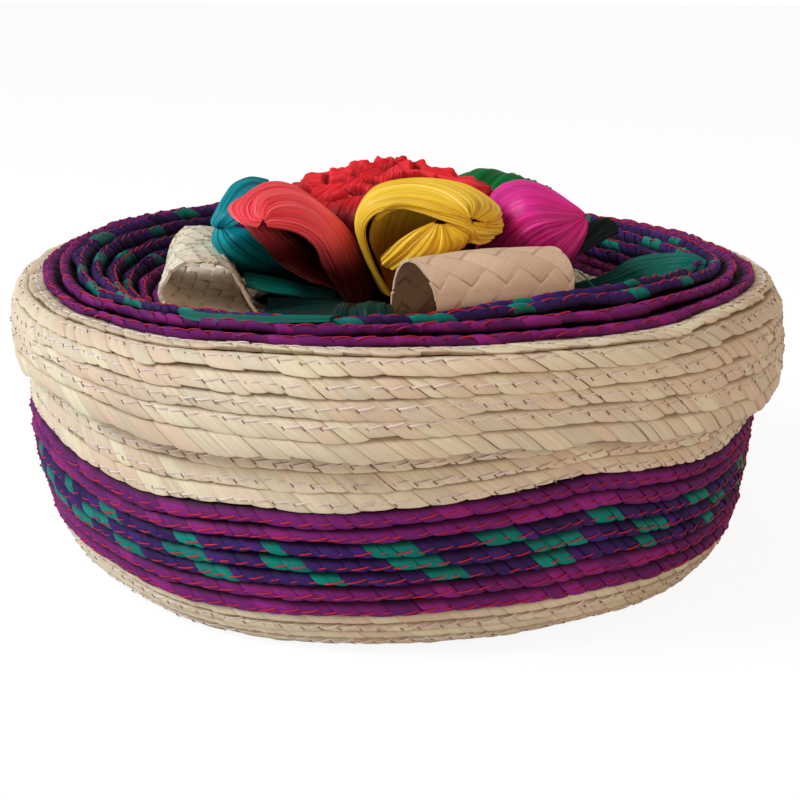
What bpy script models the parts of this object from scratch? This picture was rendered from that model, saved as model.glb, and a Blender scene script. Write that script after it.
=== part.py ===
"""A lidded tortilla basket of sewn palm braid, with a palm ornament tied to the lid.

The basket and its lid are each a spiral of flat braid, sewn row over row, so every
length of dyed or natural braid is a turned shell whose rows overlap like shingles.
The ornament is a ruffled flower, looped petals, arched plaited bands and pleated
leaves, all held by one bound core that passes through the middle of the lid.

Metres, +Z up. The origin is the middle of the flat underside.
"""

import math

import bmesh
import bpy
from mathutils import Matrix, Vector

MM = 0.001

# The braid
WALL = 4.4 * MM
ROW_LIP = 0.8 * MM
WELD_DISTANCE = 0.001 * MM
SEAM_GAP = 0.4 * MM
TURN_STEPS = 40

# The basket
BODY_RADIUS = 118.4 * MM
HEEL_INSET = 5.4 * MM
BASE_INSET = 13 * MM
HEEL_HEIGHT = 13.8 * MM
LOWER_MAGENTA_HEIGHT = 10.4 * MM
BODY_VIOLET_HEIGHT = 13.8 * MM
UPPER_MAGENTA_HEIGHT = 9.2 * MM
HEEL_ROWS = 3
LOWER_MAGENTA_ROWS = 2
BODY_VIOLET_ROWS = 3
UPPER_MAGENTA_ROWS = 2
UPPER_NATURAL_ROWS = 8
# Share of the way out from the underside's edge to the heel's top, and share of HEEL_HEIGHT
HEEL_SHARES = ((0.62, 0.42),)
# Radius as a share of BODY_RADIUS, height as a share of the way from the heel to the rim
BODY_SIDE_SHARES = (
    (0.977, 0.15),
    (0.992, 0.32),
    (0.999, 0.50),
    (0.994, 0.66),
    (0.989, 0.82),
    (0.985, 0.92),
)
# How far in the outer side of the rim leans, as a share of the wall
RIM_LEAN_SHARE = 0.62

# The lid
LID_CLEARANCE = 1.2 * MM
SEAT_GAP = 0.1 * MM
SHOULDER_HEIGHT = 92 * MM
SHOULDER_INSET = 9.8 * MM
SKIRT_DEPTH = 34.5 * MM
EDGE_WALL = 3.2 * MM
RIDGE_INSET = 12 * MM
RIDGE_RISE = 4.4 * MM
DISH_INSET = 29 * MM
DISH_DROP = 12.8 * MM
CENTRE_DROP = 2.4 * MM
# Shares of the way over the ridge, from the shoulder to the dish's middle
OUTER_MAGENTA_SHARE = 0.245
LID_VIOLET_SHARE = 0.53
SKIRT_ROWS = 6
OUTER_MAGENTA_ROWS = 2
LID_VIOLET_ROWS = 4
INNER_MAGENTA_ROWS = 2
CENTRE_ROWS = 6
# Radius as a share of the skirt's, height as a share of SKIRT_DEPTH
SKIRT_SHARES = (
    (0.988, 0.0),
    (0.997, 0.16),
    (1.0, 0.42),
    (0.998, 0.66),
    (0.984, 0.86),
    (0.962, 0.96),
)
# Share of the way in from shoulder to ridge, and share of the ridge's rise
SHOULDER_SHARES = ((0.5, 0.66),)
# Share of the way in from ridge to dish, and share of the dish's drop
DISH_SHARES = ((0.22, 0.12), (0.45, 0.48), (0.66, 0.80))

# Share of the way in from the dyed rows to the hole, and share of the middle's drop
CENTRE_SHARES = ((0.5, 0.72),)

# The core that ties the ornament to the lid
NECK_RADIUS = 2.8 * MM
NECK_CLEARANCE = 0.4 * MM
CORE_RADIUS = 7 * MM
CORE_HEIGHT = 15 * MM
KNOT_RADIUS = 8 * MM
KNOT_HEIGHT = 5 * MM
CORE_STEPS = 20
TIE_GAP = 0.3 * MM
# Radius as a share of the knot's, height as a share of the knot's
KNOT_SHARES = ((0.7, 0.0), (1.0, 0.5), (0.8, 1.0))
# Radius as a share of the core's, height as a share of the core's
CORE_SHARES = ((0.9, 0.0), (1.0, 0.2), (1.0, 0.8), (0.7, 1.0))

# The flower
FLOWER_RADIUS = 32 * MM
FLOWER_HEIGHT = 30 * MM
FLOWER_RUFFLE = 2.2 * MM
FLOWER_LOBES = 11
FLOWER_STEPS = 44
# Radius as a share of FLOWER_RADIUS, height as a share of FLOWER_HEIGHT, ruffle as a share of its own
FLOWER_SHARES = (
    (0.30, 0.0, 0.0),
    (0.66, 0.06, 0.4),
    (0.90, 0.20, 0.8),
    (0.98, 0.42, 1.0),
    (0.99, 0.62, 1.0),
    (0.86, 0.78, -0.9),
    (0.70, 0.84, 0.8),
    (0.52, 0.93, -0.8),
    (0.34, 0.94, 0.7),
    (0.16, 1.0, -0.2),
)

# The looped petals
LOOP_SHEET = 1.3 * MM
LOOP_FLOWER_GAP = 4.5 * MM
LOOP_HALF_SPAN = 19 * MM
LOOP_HEIGHT = 37.5 * MM
LOOP_FOOT_WIDTH = 13 * MM
LOOP_CROWN_WIDTH = 22 * MM
LOOP_TAIL_WIDTH = 3.4 * MM
LOOP_STEPS = 18
# The pinch that the outer edge is drawn in to: across the half span, up the height, how near it comes
PINCH_ACROSS_SHARE = 0.5
PINCH_UP_SHARE = 0.7
PINCH_DRAWN_SHARE = 0.23
PINCH_TURN = math.tau / 16
PINCH_SHARPNESS = 4
# Name, bearing in degrees, share of LOOP_HALF_SPAN, share of LOOP_HEIGHT, colour
LOOP_SIZE_SHARES = (
    ("front_yellow_loop", 283.5, 1.0, 1.0, "yellow"),
    ("right_magenta_loop", 339.5, 0.97, 0.87, "pink"),
    ("back_right_green_loop", 38.0, 0.87, 0.85, "green"),
    ("back_loop", 88.0, 0.79, 0.85, "orange"),
    ("back_left_loop", 133.5, 0.79, 0.83, "pink"),
    ("left_teal_loop", 178.5, 0.82, 0.80, "blue"),
    ("front_left_coral_loop", 226.5, 0.92, 0.96, "coral"),
)

# The arched plaited bands
BAND_SHEET = 1.2 * MM
BAND_WIDTH = 50 * MM
BAND_DEPTH = 31 * MM
BAND_ARCH = 22 * MM
BAND_LOOP_GAP = 3 * MM
BAND_LIFT = 1.1 * MM
# How much lower the arch is at its outer foot, as a share of its height
BAND_SLOPE_SHARE = 0.2
# Name, bearing in degrees, share of BAND_WIDTH, share of BAND_ARCH
BAND_SIZE_SHARES = (
    ("front_woven_band", 292.0, 1.0, 1.0),
    ("left_woven_band", 200.0, 0.92, 0.77),
    ("back_woven_band", 72.0, 0.96, 0.86),
)
# Place out from the band's inner foot as a share of BAND_DEPTH, height as a share of the arch's
ARCH_SHARES = (
    (0.02, 0.10),
    (0.16, 0.52),
    (0.34, 0.86),
    (0.55, 1.0),
    (0.78, 0.90),
    (0.95, 0.60),
    (1.0, 0.28),
    (0.90, 0.03),
    (0.50, 0.0),
    (0.12, 0.0),
)

# The leaves
LEAF_SHEET = 0.7 * MM
LEAF_PLEAT = 1.1 * MM
LEAF_LIFT = 0.7 * MM
LEAF_PLEATS = 3
LEAF_ROOT_WIDTH = 3 * MM
LEAF_ROOT_GAP = 0.3 * MM
LEAF_RIDGE_INSET = 2 * MM
LEAF_WIDTH = 38 * MM
# Name, bearing in degrees, share of the reach to the ridge, share of LEAF_WIDTH
LEAF_SIZE_SHARES = (
    ("right_leaf", 349.0, 1.0, 1.0),
    ("back_right_leaf", 24.0, 0.91, 0.84),
    ("back_left_leaf", 124.0, 0.95, 0.89),
    ("rear_leaf", 157.0, 0.87, 0.68),
    ("left_leaf", 189.0, 0.50, 0.47),
    ("front_left_leaf", 237.5, 1.0, 0.89),
    ("front_leaf", 261.5, 0.90, 0.37),
)
# Share of the leaf's length, and its width as a share of the greatest
LEAF_SHARES = (
    (0.0, 0.0),
    (0.30, 0.38),
    (0.58, 0.74),
    (0.76, 1.0),
    (0.86, 0.96),
    (0.94, 0.70),
    (1.0, 0.30),
)

COLOURS = {
    "natural": (0.72, 0.58, 0.40),
    "magenta": (0.24, 0.03, 0.22),
    "violet": (0.07, 0.02, 0.16),
    "red": (0.66, 0.02, 0.03),
    "coral": (0.80, 0.08, 0.09),
    "yellow": (0.85, 0.50, 0.03),
    "orange": (0.85, 0.24, 0.03),
    "pink": (0.62, 0.02, 0.24),
    "green": (0.0, 0.17, 0.06),
    "blue": (0.0, 0.26, 0.30),
    "leaf": (0.0, 0.20, 0.16),
}
PALM_ROUGHNESS = 0.6
SHARP_ANGLE = math.radians(40)

# Worked out from the sizes above
HEEL_RADIUS = BODY_RADIUS - HEEL_INSET
BASE_RADIUS = HEEL_RADIUS - BASE_INSET
SKIRT_RADIUS = BODY_RADIUS + ROW_LIP + LID_CLEARANCE + WALL
SHOULDER_RADIUS = SKIRT_RADIUS - SHOULDER_INSET
RIDGE_RADIUS = SHOULDER_RADIUS - RIDGE_INSET
DISH_RADIUS = RIDGE_RADIUS - DISH_INSET
LEAF_REACH = RIDGE_RADIUS - LEAF_RIDGE_INSET
EDGE_HEIGHT = SHOULDER_HEIGHT - SKIRT_DEPTH
RIM_HEIGHT = SHOULDER_HEIGHT - WALL - SEAT_GAP
RIDGE_HEIGHT = SHOULDER_HEIGHT + RIDGE_RISE
DISH_HEIGHT = RIDGE_HEIGHT - DISH_DROP
CENTRE_HEIGHT = DISH_HEIGHT - CENTRE_DROP
HOLE_RADIUS = NECK_RADIUS + NECK_CLEARANCE
TIE_HEIGHT = CENTRE_HEIGHT + ROW_LIP + TIE_GAP
FLOWER_BASE = TIE_HEIGHT + CORE_HEIGHT + TIE_GAP
LEAF_TOP = CENTRE_HEIGHT + ROW_LIP + LEAF_LIFT + LEAF_PLEAT + LEAF_SHEET
LOOP_BASE = LEAF_TOP + CENTRE_DROP + TIE_GAP
LOOP_INNER_RADIUS = FLOWER_RADIUS + FLOWER_RUFFLE + LOOP_FLOWER_GAP
BAND_INNER_RADIUS = LOOP_INNER_RADIUS + LOOP_FOOT_WIDTH + BAND_LOOP_GAP


class Guide:
    """A smooth (radius, height) curve that rows of braid follow, measured along its length."""

    def __init__(self, corners, per_span=12):
        self.points = []
        ends = [corners[0]] + list(corners) + [corners[-1]]
        for before, start, end, after in zip(ends, ends[1:], ends[2:], ends[3:]):
            for step in range(per_span):
                self.points.append(through(before, start, end, after, step / per_span))
        self.points.append(Vector(corners[-1]))
        self.lengths = [0.0]
        for start, end in zip(self.points, self.points[1:]):
            self.lengths.append(self.lengths[-1] + (end - start).length)

    @property
    def length(self):
        return self.lengths[-1]

    def span_at(self, along):
        """The index of the short span that holds this length, and the share of the way along it."""
        index = 0
        while index < len(self.lengths) - 2 and self.lengths[index + 1] < along:
            index += 1
        span = self.lengths[index + 1] - self.lengths[index]
        return index, (along - self.lengths[index]) / span

    def offset(self, along, out):
        """The point this far along the curve and this far out from it."""
        index, share = self.span_at(along)
        start, end = self.points[index], self.points[index + 1]
        way = (end - start).normalized()
        return start.lerp(end, share) + Vector((way.y, -way.x)) * out

    def along_where(self, test):
        """The first length at which a point of the curve passes this test."""
        for length, point in zip(self.lengths, self.points):
            if test(point):
                return length
        return self.length

    def height_at(self, radius):
        """The height of the curve at this radius, on a curve whose radius falls all the way."""
        for start, end in zip(self.points, self.points[1:]):
            if end.x <= radius <= start.x:
                share = (start.x - radius) / max(start.x - end.x, WELD_DISTANCE)
                return start.y + (end.y - start.y) * share
        return self.points[-1].y


def through(before, start, end, after, share):
    """A point on the smooth curve from start to end that also heads for its two neighbours."""
    before, start, end, after = (Vector(point) for point in (before, start, end, after))
    out = (end - before) / 2
    into = (after - start) / 2
    cube, square = share**3, share**2
    return (
        start * (2 * cube - 3 * square + 1)
        + out * (cube - 2 * square + share)
        + end * (3 * square - 2 * cube)
        + into * (cube - square)
    )


def body_guide():
    """The outside of the basket's wall, from the edge of its flat underside up to the rim."""
    side = RIM_HEIGHT - HEEL_HEIGHT
    corners = [(BASE_RADIUS, 0)]
    for out_share, height_share in HEEL_SHARES:
        radius = BASE_RADIUS + (HEEL_RADIUS - BASE_RADIUS) * out_share
        corners.append((radius, HEEL_HEIGHT * height_share))
    corners.append((HEEL_RADIUS, HEEL_HEIGHT))
    for radius_share, height_share in BODY_SIDE_SHARES:
        corners.append((BODY_RADIUS * radius_share, HEEL_HEIGHT + side * height_share))
    corners.append((corners[-1][0] - WALL * RIM_LEAN_SHARE, RIM_HEIGHT))
    return Guide(corners)


def lid_guide():
    """The outside of the lid, from its edge over the shoulder and ridge to the hole in its middle."""
    corners = [
        (SKIRT_RADIUS * radius_share, EDGE_HEIGHT + SKIRT_DEPTH * height_share)
        for radius_share, height_share in SKIRT_SHARES
    ]
    corners.append((SHOULDER_RADIUS, SHOULDER_HEIGHT))
    for in_share, rise_share in SHOULDER_SHARES:
        radius = SHOULDER_RADIUS + (RIDGE_RADIUS - SHOULDER_RADIUS) * in_share
        corners.append((radius, SHOULDER_HEIGHT + RIDGE_RISE * rise_share))
    corners.append((RIDGE_RADIUS, RIDGE_HEIGHT))
    for in_share, drop_share in DISH_SHARES:
        radius = RIDGE_RADIUS + (DISH_RADIUS - RIDGE_RADIUS) * in_share
        corners.append((radius, RIDGE_HEIGHT - DISH_DROP * drop_share))
    corners.append((DISH_RADIUS, DISH_HEIGHT))
    for in_share, drop_share in CENTRE_SHARES:
        radius = DISH_RADIUS + (HOLE_RADIUS - DISH_RADIUS) * in_share
        corners.append((radius, DISH_HEIGHT - CENTRE_DROP * drop_share))
    corners.append((HOLE_RADIUS, CENTRE_HEIGHT))
    return Guide(corners)


BODY = body_guide()
LID = lid_guide()


def material(colour):
    name = colour + "_palm"
    found = bpy.data.materials.get(name)
    if found:
        return found
    made = bpy.data.materials.new(name)
    made.use_nodes = True
    shader = made.node_tree.nodes["Principled BSDF"]
    shader.inputs["Base Color"].default_value = (*COLOURS[colour], 1)
    shader.inputs["Roughness"].default_value = PALM_ROUGHNESS
    shader.inputs["Metallic"].default_value = 0
    return made


def finish(name, shape, colour, bearing=0.0):
    """Turns a bmesh into a named object with its material, turned about the axis to its bearing."""
    bmesh.ops.remove_doubles(shape, verts=shape.verts, dist=WELD_DISTANCE)
    bmesh.ops.recalc_face_normals(shape, faces=shape.faces)
    mesh = bpy.data.meshes.new(name)
    shape.to_mesh(mesh)
    shape.free()
    mesh.shade_smooth()
    mesh.set_sharp_from_angle(angle=SHARP_ANGLE)
    made = bpy.data.objects.new(name, mesh)
    made.data.materials.append(material(colour))
    made.rotation_euler.z = math.radians(bearing)
    bpy.context.scene.collection.objects.link(made)
    return made


def turned(name, outline, colour, steps=TURN_STEPS):
    """Turns a (radius, height) outline about the axis, left open where it starts and ends on it."""
    shape = bmesh.new()
    points = [shape.verts.new((radius, 0, height)) for radius, height in outline]
    pairs = list(zip(points, points[1:]))
    if outline[0][0] > 0:
        pairs.append((points[-1], points[0]))
    edges = [shape.edges.new(pair) for pair in pairs]
    bmesh.ops.spin(
        shape,
        geom=points + edges,
        cent=(0, 0, 0),
        axis=(0, 0, 1),
        angle=math.tau,
        steps=steps,
        use_merge=True,
    )
    return finish(name, shape, colour)


def row_outside(guide, start, end, rows):
    """The outer points of a few rows: each row's first edge stands proud over the row before it."""
    pitch = (end - start) / rows
    points = []
    for row in range(rows):
        first = start + row * pitch
        points.append(guide.offset(first, ROW_LIP))
        points.append(guide.offset(first + pitch, 0))
    return points


def row_inside(guide, start, end, rows, first_wall, last_wall):
    """The inner points, one where each row ends, from the last row back to the first."""
    points = []
    for row in range(rows, -1, -1):
        share = row / rows
        wall = first_wall + (last_wall - first_wall) * share
        points.append(guide.offset(start + (end - start) * share, -wall))
    return points


def braid(name, guide, start, end, rows, colour, first_wall=WALL):
    """One length of braid, sewn round in rows along its guide, with a seam's gap at each end."""
    start += SEAM_GAP / 2
    end -= SEAM_GAP / 2
    outline = row_outside(guide, start, end, rows)
    outline += row_inside(guide, start, end, rows, first_wall, WALL)
    return turned(name, [tuple(point) for point in outline], colour)


def make_basket():
    def along(height):
        return BODY.along_where(lambda point: point.y >= height)

    heel = along(HEEL_HEIGHT)
    lower = along(HEEL_HEIGHT + LOWER_MAGENTA_HEIGHT)
    violet = along(HEEL_HEIGHT + LOWER_MAGENTA_HEIGHT + BODY_VIOLET_HEIGHT)
    upper = along(
        HEEL_HEIGHT + LOWER_MAGENTA_HEIGHT + BODY_VIOLET_HEIGHT + UPPER_MAGENTA_HEIGHT
    )
    heel_end = heel - SEAM_GAP / 2
    outline = [(0, 0), (BASE_RADIUS, 0)]
    outline += [tuple(p) for p in row_outside(BODY, 0, heel_end, HEEL_ROWS)[1:]]
    inside = row_inside(BODY, 0, heel_end, HEEL_ROWS, WALL, WALL)
    outline += [tuple(p) for p in inside if p.y > WALL]
    outline += [(BASE_RADIUS - WALL, WALL), (0, WALL)]
    turned("body_base_braid", outline, "natural")
    braid("body_lower_magenta_braid", BODY, heel, lower, LOWER_MAGENTA_ROWS, "magenta")
    braid("body_violet_braid", BODY, lower, violet, BODY_VIOLET_ROWS, "violet")
    braid("body_upper_magenta_braid", BODY, violet, upper, UPPER_MAGENTA_ROWS, "magenta")
    braid("body_upper_natural_braid", BODY, upper, BODY.length, UPPER_NATURAL_ROWS, "natural")


def make_lid():
    shoulder = LID.along_where(lambda point: point.x <= SHOULDER_RADIUS)
    dish = LID.along_where(lambda point: point.x <= DISH_RADIUS)
    outer = shoulder + (dish - shoulder) * OUTER_MAGENTA_SHARE
    violet = outer + (dish - shoulder) * LID_VIOLET_SHARE
    braid("lid_skirt_braid", LID, 0, shoulder, SKIRT_ROWS, "natural", EDGE_WALL)
    braid("lid_outer_magenta_braid", LID, shoulder, outer, OUTER_MAGENTA_ROWS, "magenta")
    braid("lid_violet_braid", LID, outer, violet, LID_VIOLET_ROWS, "violet")
    braid("lid_inner_magenta_braid", LID, violet, dish, INNER_MAGENTA_ROWS, "magenta")
    braid("lid_centre_braid", LID, dish, LID.length, CENTRE_ROWS, "natural")


def make_core():
    """The bound ends above the lid, the neck through it and the knot that holds them from below."""
    knot = CENTRE_HEIGHT - WALL - TIE_GAP - KNOT_HEIGHT
    outline = [(0, knot)]
    outline += [(KNOT_RADIUS * out, knot + KNOT_HEIGHT * up) for out, up in KNOT_SHARES]
    outline += [(NECK_RADIUS, knot + KNOT_HEIGHT), (NECK_RADIUS, TIE_HEIGHT)]
    outline += [(CORE_RADIUS * out, TIE_HEIGHT + CORE_HEIGHT * up) for out, up in CORE_SHARES]
    outline.append((0, TIE_HEIGHT + CORE_HEIGHT))
    turned("ornament_core", outline, "natural", CORE_STEPS)


def make_flower():
    """A domed rosette. Its rings of ruffles take turns, a crest over each hollow of the ring outside it."""
    shape = bmesh.new()
    rings = []
    for radius_share, height_share, ruffle_share in FLOWER_SHARES:
        ring = []
        for step in range(FLOWER_STEPS):
            turn = math.tau * step / FLOWER_STEPS
            wave = math.sin(turn * FLOWER_LOBES) * FLOWER_RUFFLE * ruffle_share
            radius = FLOWER_RADIUS * radius_share + wave / 2
            height = FLOWER_BASE + FLOWER_HEIGHT * height_share
            if 0 < height_share < 1:
                height += wave / 2
            ring.append(
                shape.verts.new((radius * math.cos(turn), radius * math.sin(turn), height))
            )
        rings.append(ring)
    for lower, upper in zip(rings, rings[1:]):
        for step in range(FLOWER_STEPS):
            after = (step + 1) % FLOWER_STEPS
            shape.faces.new((lower[step], lower[after], upper[after], upper[step]))
    shape.faces.new(rings[0][::-1])
    shape.faces.new(rings[-1])
    finish("red_flower", shape, "red")


def loop_station(turn, half_span, height):
    """The four corners of a petal's sheet at one angle round its loop, from the foot at zero."""
    rise_share = (1 - math.cos(turn)) / 2
    width = LOOP_FOOT_WIDTH + (LOOP_CROWN_WIDTH - LOOP_FOOT_WIDTH) * rise_share
    corners = []
    for out, inset in ((0, 0), (width, 0), (width, LOOP_SHEET), (0, LOOP_SHEET)):
        span = half_span - inset
        rise = height / 2 - inset
        across = span * math.sin(turn)
        up = height / 2 - rise * math.cos(turn)
        if out:
            near = max(0.0, math.sin(turn / 2 - PINCH_TURN)) ** PINCH_SHARPNESS
            drawn = PINCH_DRAWN_SHARE * near
            across += (half_span * PINCH_ACROSS_SHARE - across) * drawn
            up += (height * PINCH_UP_SHARE - up) * drawn
        corners.append(Vector((LOOP_INNER_RADIUS + out, across, LOOP_BASE + up)))
    return corners


def make_loop(name, bearing, half_span, height, colour):
    """A sheet of palm strips bent into a standing loop, its foot drawn in to the core as a narrow tail."""
    shape = bmesh.new()
    stations = []
    for step in range(LOOP_STEPS):
        turn = math.tau * (step + 0.5) / LOOP_STEPS
        stations.append([shape.verts.new(c) for c in loop_station(turn, half_span, height)])
    foot = None
    for step, station in enumerate(stations):
        after = stations[(step + 1) % LOOP_STEPS]
        for corner in range(4):
            beside = (corner + 1) % 4
            face = shape.faces.new(
                (station[corner], station[beside], after[beside], after[corner])
            )
            if step == LOOP_STEPS - 1 and corner == 3:
                foot = face
    tail = bmesh.ops.extrude_face_region(shape, geom=[foot])["geom"]
    shape.faces.remove(foot)
    ends = [part for part in tail if isinstance(part, bmesh.types.BMVert)]
    middle = sum((point.co for point in ends), Vector()) / len(ends)
    for point in ends:
        side = math.copysign(LOOP_TAIL_WIDTH / 2, point.co.y)
        point.co = (CORE_RADIUS + TIE_GAP, side, middle.z + (point.co.z - middle.z))
    finish(name, shape, colour, bearing)


def dish_height(radius):
    """The height of the lid's outer surface at this radius, for what lies in the dish."""
    return LID.height_at(min(radius, RIDGE_RADIUS))


def make_band(name, bearing, width, arch):
    """A plaited band bent into an arch that lies along the dish, open at both ends."""
    shape = bmesh.new()
    inner_foot = dish_height(BAND_INNER_RADIUS)
    outer_foot = dish_height(BAND_INNER_RADIUS + BAND_DEPTH)
    outer_ring = []
    for out_share, up_share in ARCH_SHARES:
        foot = inner_foot + (outer_foot - inner_foot) * out_share
        up = ROW_LIP + BAND_LIFT + arch * up_share * (1 - BAND_SLOPE_SHARE * out_share)
        outer_ring.append(Vector((BAND_DEPTH * out_share, foot + up)))
    centre = sum(outer_ring, Vector((0, 0))) / len(outer_ring)
    inner_ring = [point + (centre - point).normalized() * BAND_SHEET for point in outer_ring]
    rows = []
    for side in (-width / 2, width / 2):
        for ring in (outer_ring, inner_ring):
            rows.append(
                [shape.verts.new((BAND_INNER_RADIUS + p.x, side, p.y)) for p in ring]
            )
    count = len(ARCH_SHARES)
    for first, second in ((0, 2), (3, 1), (1, 0), (2, 3)):
        for step in range(count):
            after = (step + 1) % count
            shape.faces.new(
                (rows[first][step], rows[first][after], rows[second][after], rows[second][step])
            )
    finish(name, shape, "natural", bearing)


def make_leaf(name, bearing, reach, width):
    """A pleated palm leaf that fans out from the core along the dish and up towards the ridge."""
    shape = bmesh.new()
    root = CORE_RADIUS + LEAF_ROOT_GAP
    folds = LEAF_PLEATS * 2
    top, under = [], []
    for length_share, width_share in LEAF_SHARES:
        out = root + (reach - root) * length_share
        half = (LEAF_ROOT_WIDTH + (width - LEAF_ROOT_WIDTH) * width_share) / 2
        top_row, under_row = [], []
        for fold in range(folds + 1):
            across = half * (2 * fold / folds - 1)
            pleat = LEAF_PLEAT * (fold % 2)
            radius = math.hypot(out, across)
            height = dish_height(radius) + ROW_LIP + LEAF_LIFT + pleat
            under_row.append(shape.verts.new((out, across, height)))
            top_row.append(shape.verts.new((out, across, height + LEAF_SHEET)))
        top.append(top_row)
        under.append(under_row)
    last = len(LEAF_SHARES) - 1
    for step in range(last):
        for fold in range(folds):
            shape.faces.new(
                (top[step][fold], top[step + 1][fold], top[step + 1][fold + 1], top[step][fold + 1])
            )
            shape.faces.new(
                (under[step][fold], under[step][fold + 1], under[step + 1][fold + 1], under[step + 1][fold])
            )
        for fold in (0, folds):
            shape.faces.new(
                (top[step][fold], under[step][fold], under[step + 1][fold], top[step + 1][fold])
            )
    for step in (0, last):
        for fold in range(folds):
            shape.faces.new(
                (top[step][fold], top[step][fold + 1], under[step][fold + 1], under[step][fold])
            )
    finish(name, shape, "leaf", bearing)


def main():
    for old in list(bpy.data.objects):
        bpy.data.objects.remove(old, do_unlink=True)
    make_basket()
    make_lid()
    make_core()
    make_flower()
    for name, bearing, span_share, height_share, colour in LOOP_SIZE_SHARES:
        half_span = LOOP_HALF_SPAN * span_share
        make_loop(name, bearing, half_span, LOOP_HEIGHT * height_share, colour)
    for name, bearing, width_share, arch_share in BAND_SIZE_SHARES:
        make_band(name, bearing, BAND_WIDTH * width_share, BAND_ARCH * arch_share)
    for name, bearing, reach_share, width_share in LEAF_SIZE_SHARES:
        make_leaf(name, bearing, LEAF_REACH * reach_share, LEAF_WIDTH * width_share)


main()
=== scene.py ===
"""The looks of a lidded tortilla basket: sewn palm braid, dyed bands and a palm ornament.

Lengths in the code are in millimetres until they reach a mesh, which is in metres.
The origin is the middle of the flat underside, +Z is up and the photograph is taken from -Y.
"""

import math

import bpy
import numpy as np
from mathutils import Matrix, Vector
from mathutils.bvhtree import BVHTree


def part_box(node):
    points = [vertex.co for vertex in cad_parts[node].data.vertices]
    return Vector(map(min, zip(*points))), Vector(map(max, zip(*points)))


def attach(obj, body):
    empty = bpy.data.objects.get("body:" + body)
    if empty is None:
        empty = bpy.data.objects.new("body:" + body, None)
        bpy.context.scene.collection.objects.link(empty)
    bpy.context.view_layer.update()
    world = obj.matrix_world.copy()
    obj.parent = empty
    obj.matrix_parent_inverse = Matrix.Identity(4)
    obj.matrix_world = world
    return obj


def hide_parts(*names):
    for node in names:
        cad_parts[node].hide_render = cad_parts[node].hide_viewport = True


bl_info = {
    "name": "Palm Tortilla Basket",
    "version": (1, 0, 0),
    "blender": (4, 5, 0),
    "location": "View3D > Sidebar > Basket",
    "description": "Dresses the packed basket with sewn braid, stitches and a palm ornament",
    "category": "Object",
}

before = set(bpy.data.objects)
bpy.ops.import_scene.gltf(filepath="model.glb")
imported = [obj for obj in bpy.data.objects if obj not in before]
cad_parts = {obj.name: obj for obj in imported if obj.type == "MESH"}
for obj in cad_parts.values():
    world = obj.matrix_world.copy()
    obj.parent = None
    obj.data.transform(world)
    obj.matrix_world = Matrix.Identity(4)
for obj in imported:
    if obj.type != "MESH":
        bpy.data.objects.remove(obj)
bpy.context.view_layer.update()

MM = 0.001
SEED = 11

# The photograph's camera, as measured from the ellipses of the rows
PHOTO_SIZE = 800
PHOTO_FOCAL = 1800.0
CAMERA_PLACE = (2.5, -580.2, 212.4)
CAMERA_PITCH = math.radians(16.21)
CAMERA_ROLL = math.radians(0.18)


def camera_axes():
    """The camera's right, up and forward directions."""
    right = Vector((1, 0, 0))
    up = Vector((0, math.sin(CAMERA_PITCH), math.cos(CAMERA_PITCH)))
    ahead = Vector((0, math.cos(CAMERA_PITCH), -math.sin(CAMERA_PITCH)))
    cos, sin = math.cos(CAMERA_ROLL), math.sin(CAMERA_ROLL)
    return right * cos + up * sin, up * cos - right * sin, ahead


def node_top(node):
    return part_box(node)[1].z / MM


def node_radius(node):
    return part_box(node)[1].x / MM


# Driving sizes, from the frame
LID_RADIUS = node_radius("lid_skirt_braid")
LID_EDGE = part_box("lid_skirt_braid")[0].z / MM
SHOULDER_HEIGHT = node_top("lid_skirt_braid")
RIDGE_HEIGHT = node_top("lid_violet_braid")
DISH_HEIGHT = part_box("lid_inner_magenta_braid")[0].z / MM
BODY_RADIUS = node_radius("body_violet_braid")
RIM_HEIGHT = node_top("body_upper_natural_braid")
HEEL_HEIGHT = node_top("body_base_braid")
HEEL_RADIUS = node_radius("body_base_braid")


# Sizes and colours that a user would change


def length_property(name, description, default, low, high):
    return bpy.props.FloatProperty(
        name=name, description=description, default=default, min=low, max=high, unit="LENGTH"
    )


class BraidSettings(bpy.types.PropertyGroup):
    """The sewn braid of basket and lid."""

    cell_length: length_property("Cell Length", "Mean length of a plaited cell", 0.0074, 0.003, 0.02)
    relief: length_property("Relief", "How far a cell stands over the crack beside it", 0.00042, 0.0, 0.002)
    waviness: length_property("Waviness", "How far a row's lower edge wanders", 0.00055, 0.0, 0.003)
    stitch_length: length_property("Stitch Length", "Length of one thread stitch", 0.0050, 0.001, 0.02)
    stitch_pitch: length_property("Stitch Pitch", "Distance from one stitch to the next", 0.0056, 0.002, 0.03)
    thread_width: length_property("Thread Width", "Thickness of the sewing thread", 0.00050, 0.0001, 0.003)


def colour_property(name, description, default):
    return bpy.props.FloatVectorProperty(name=name, description=description, subtype="COLOR", default=default)


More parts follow.
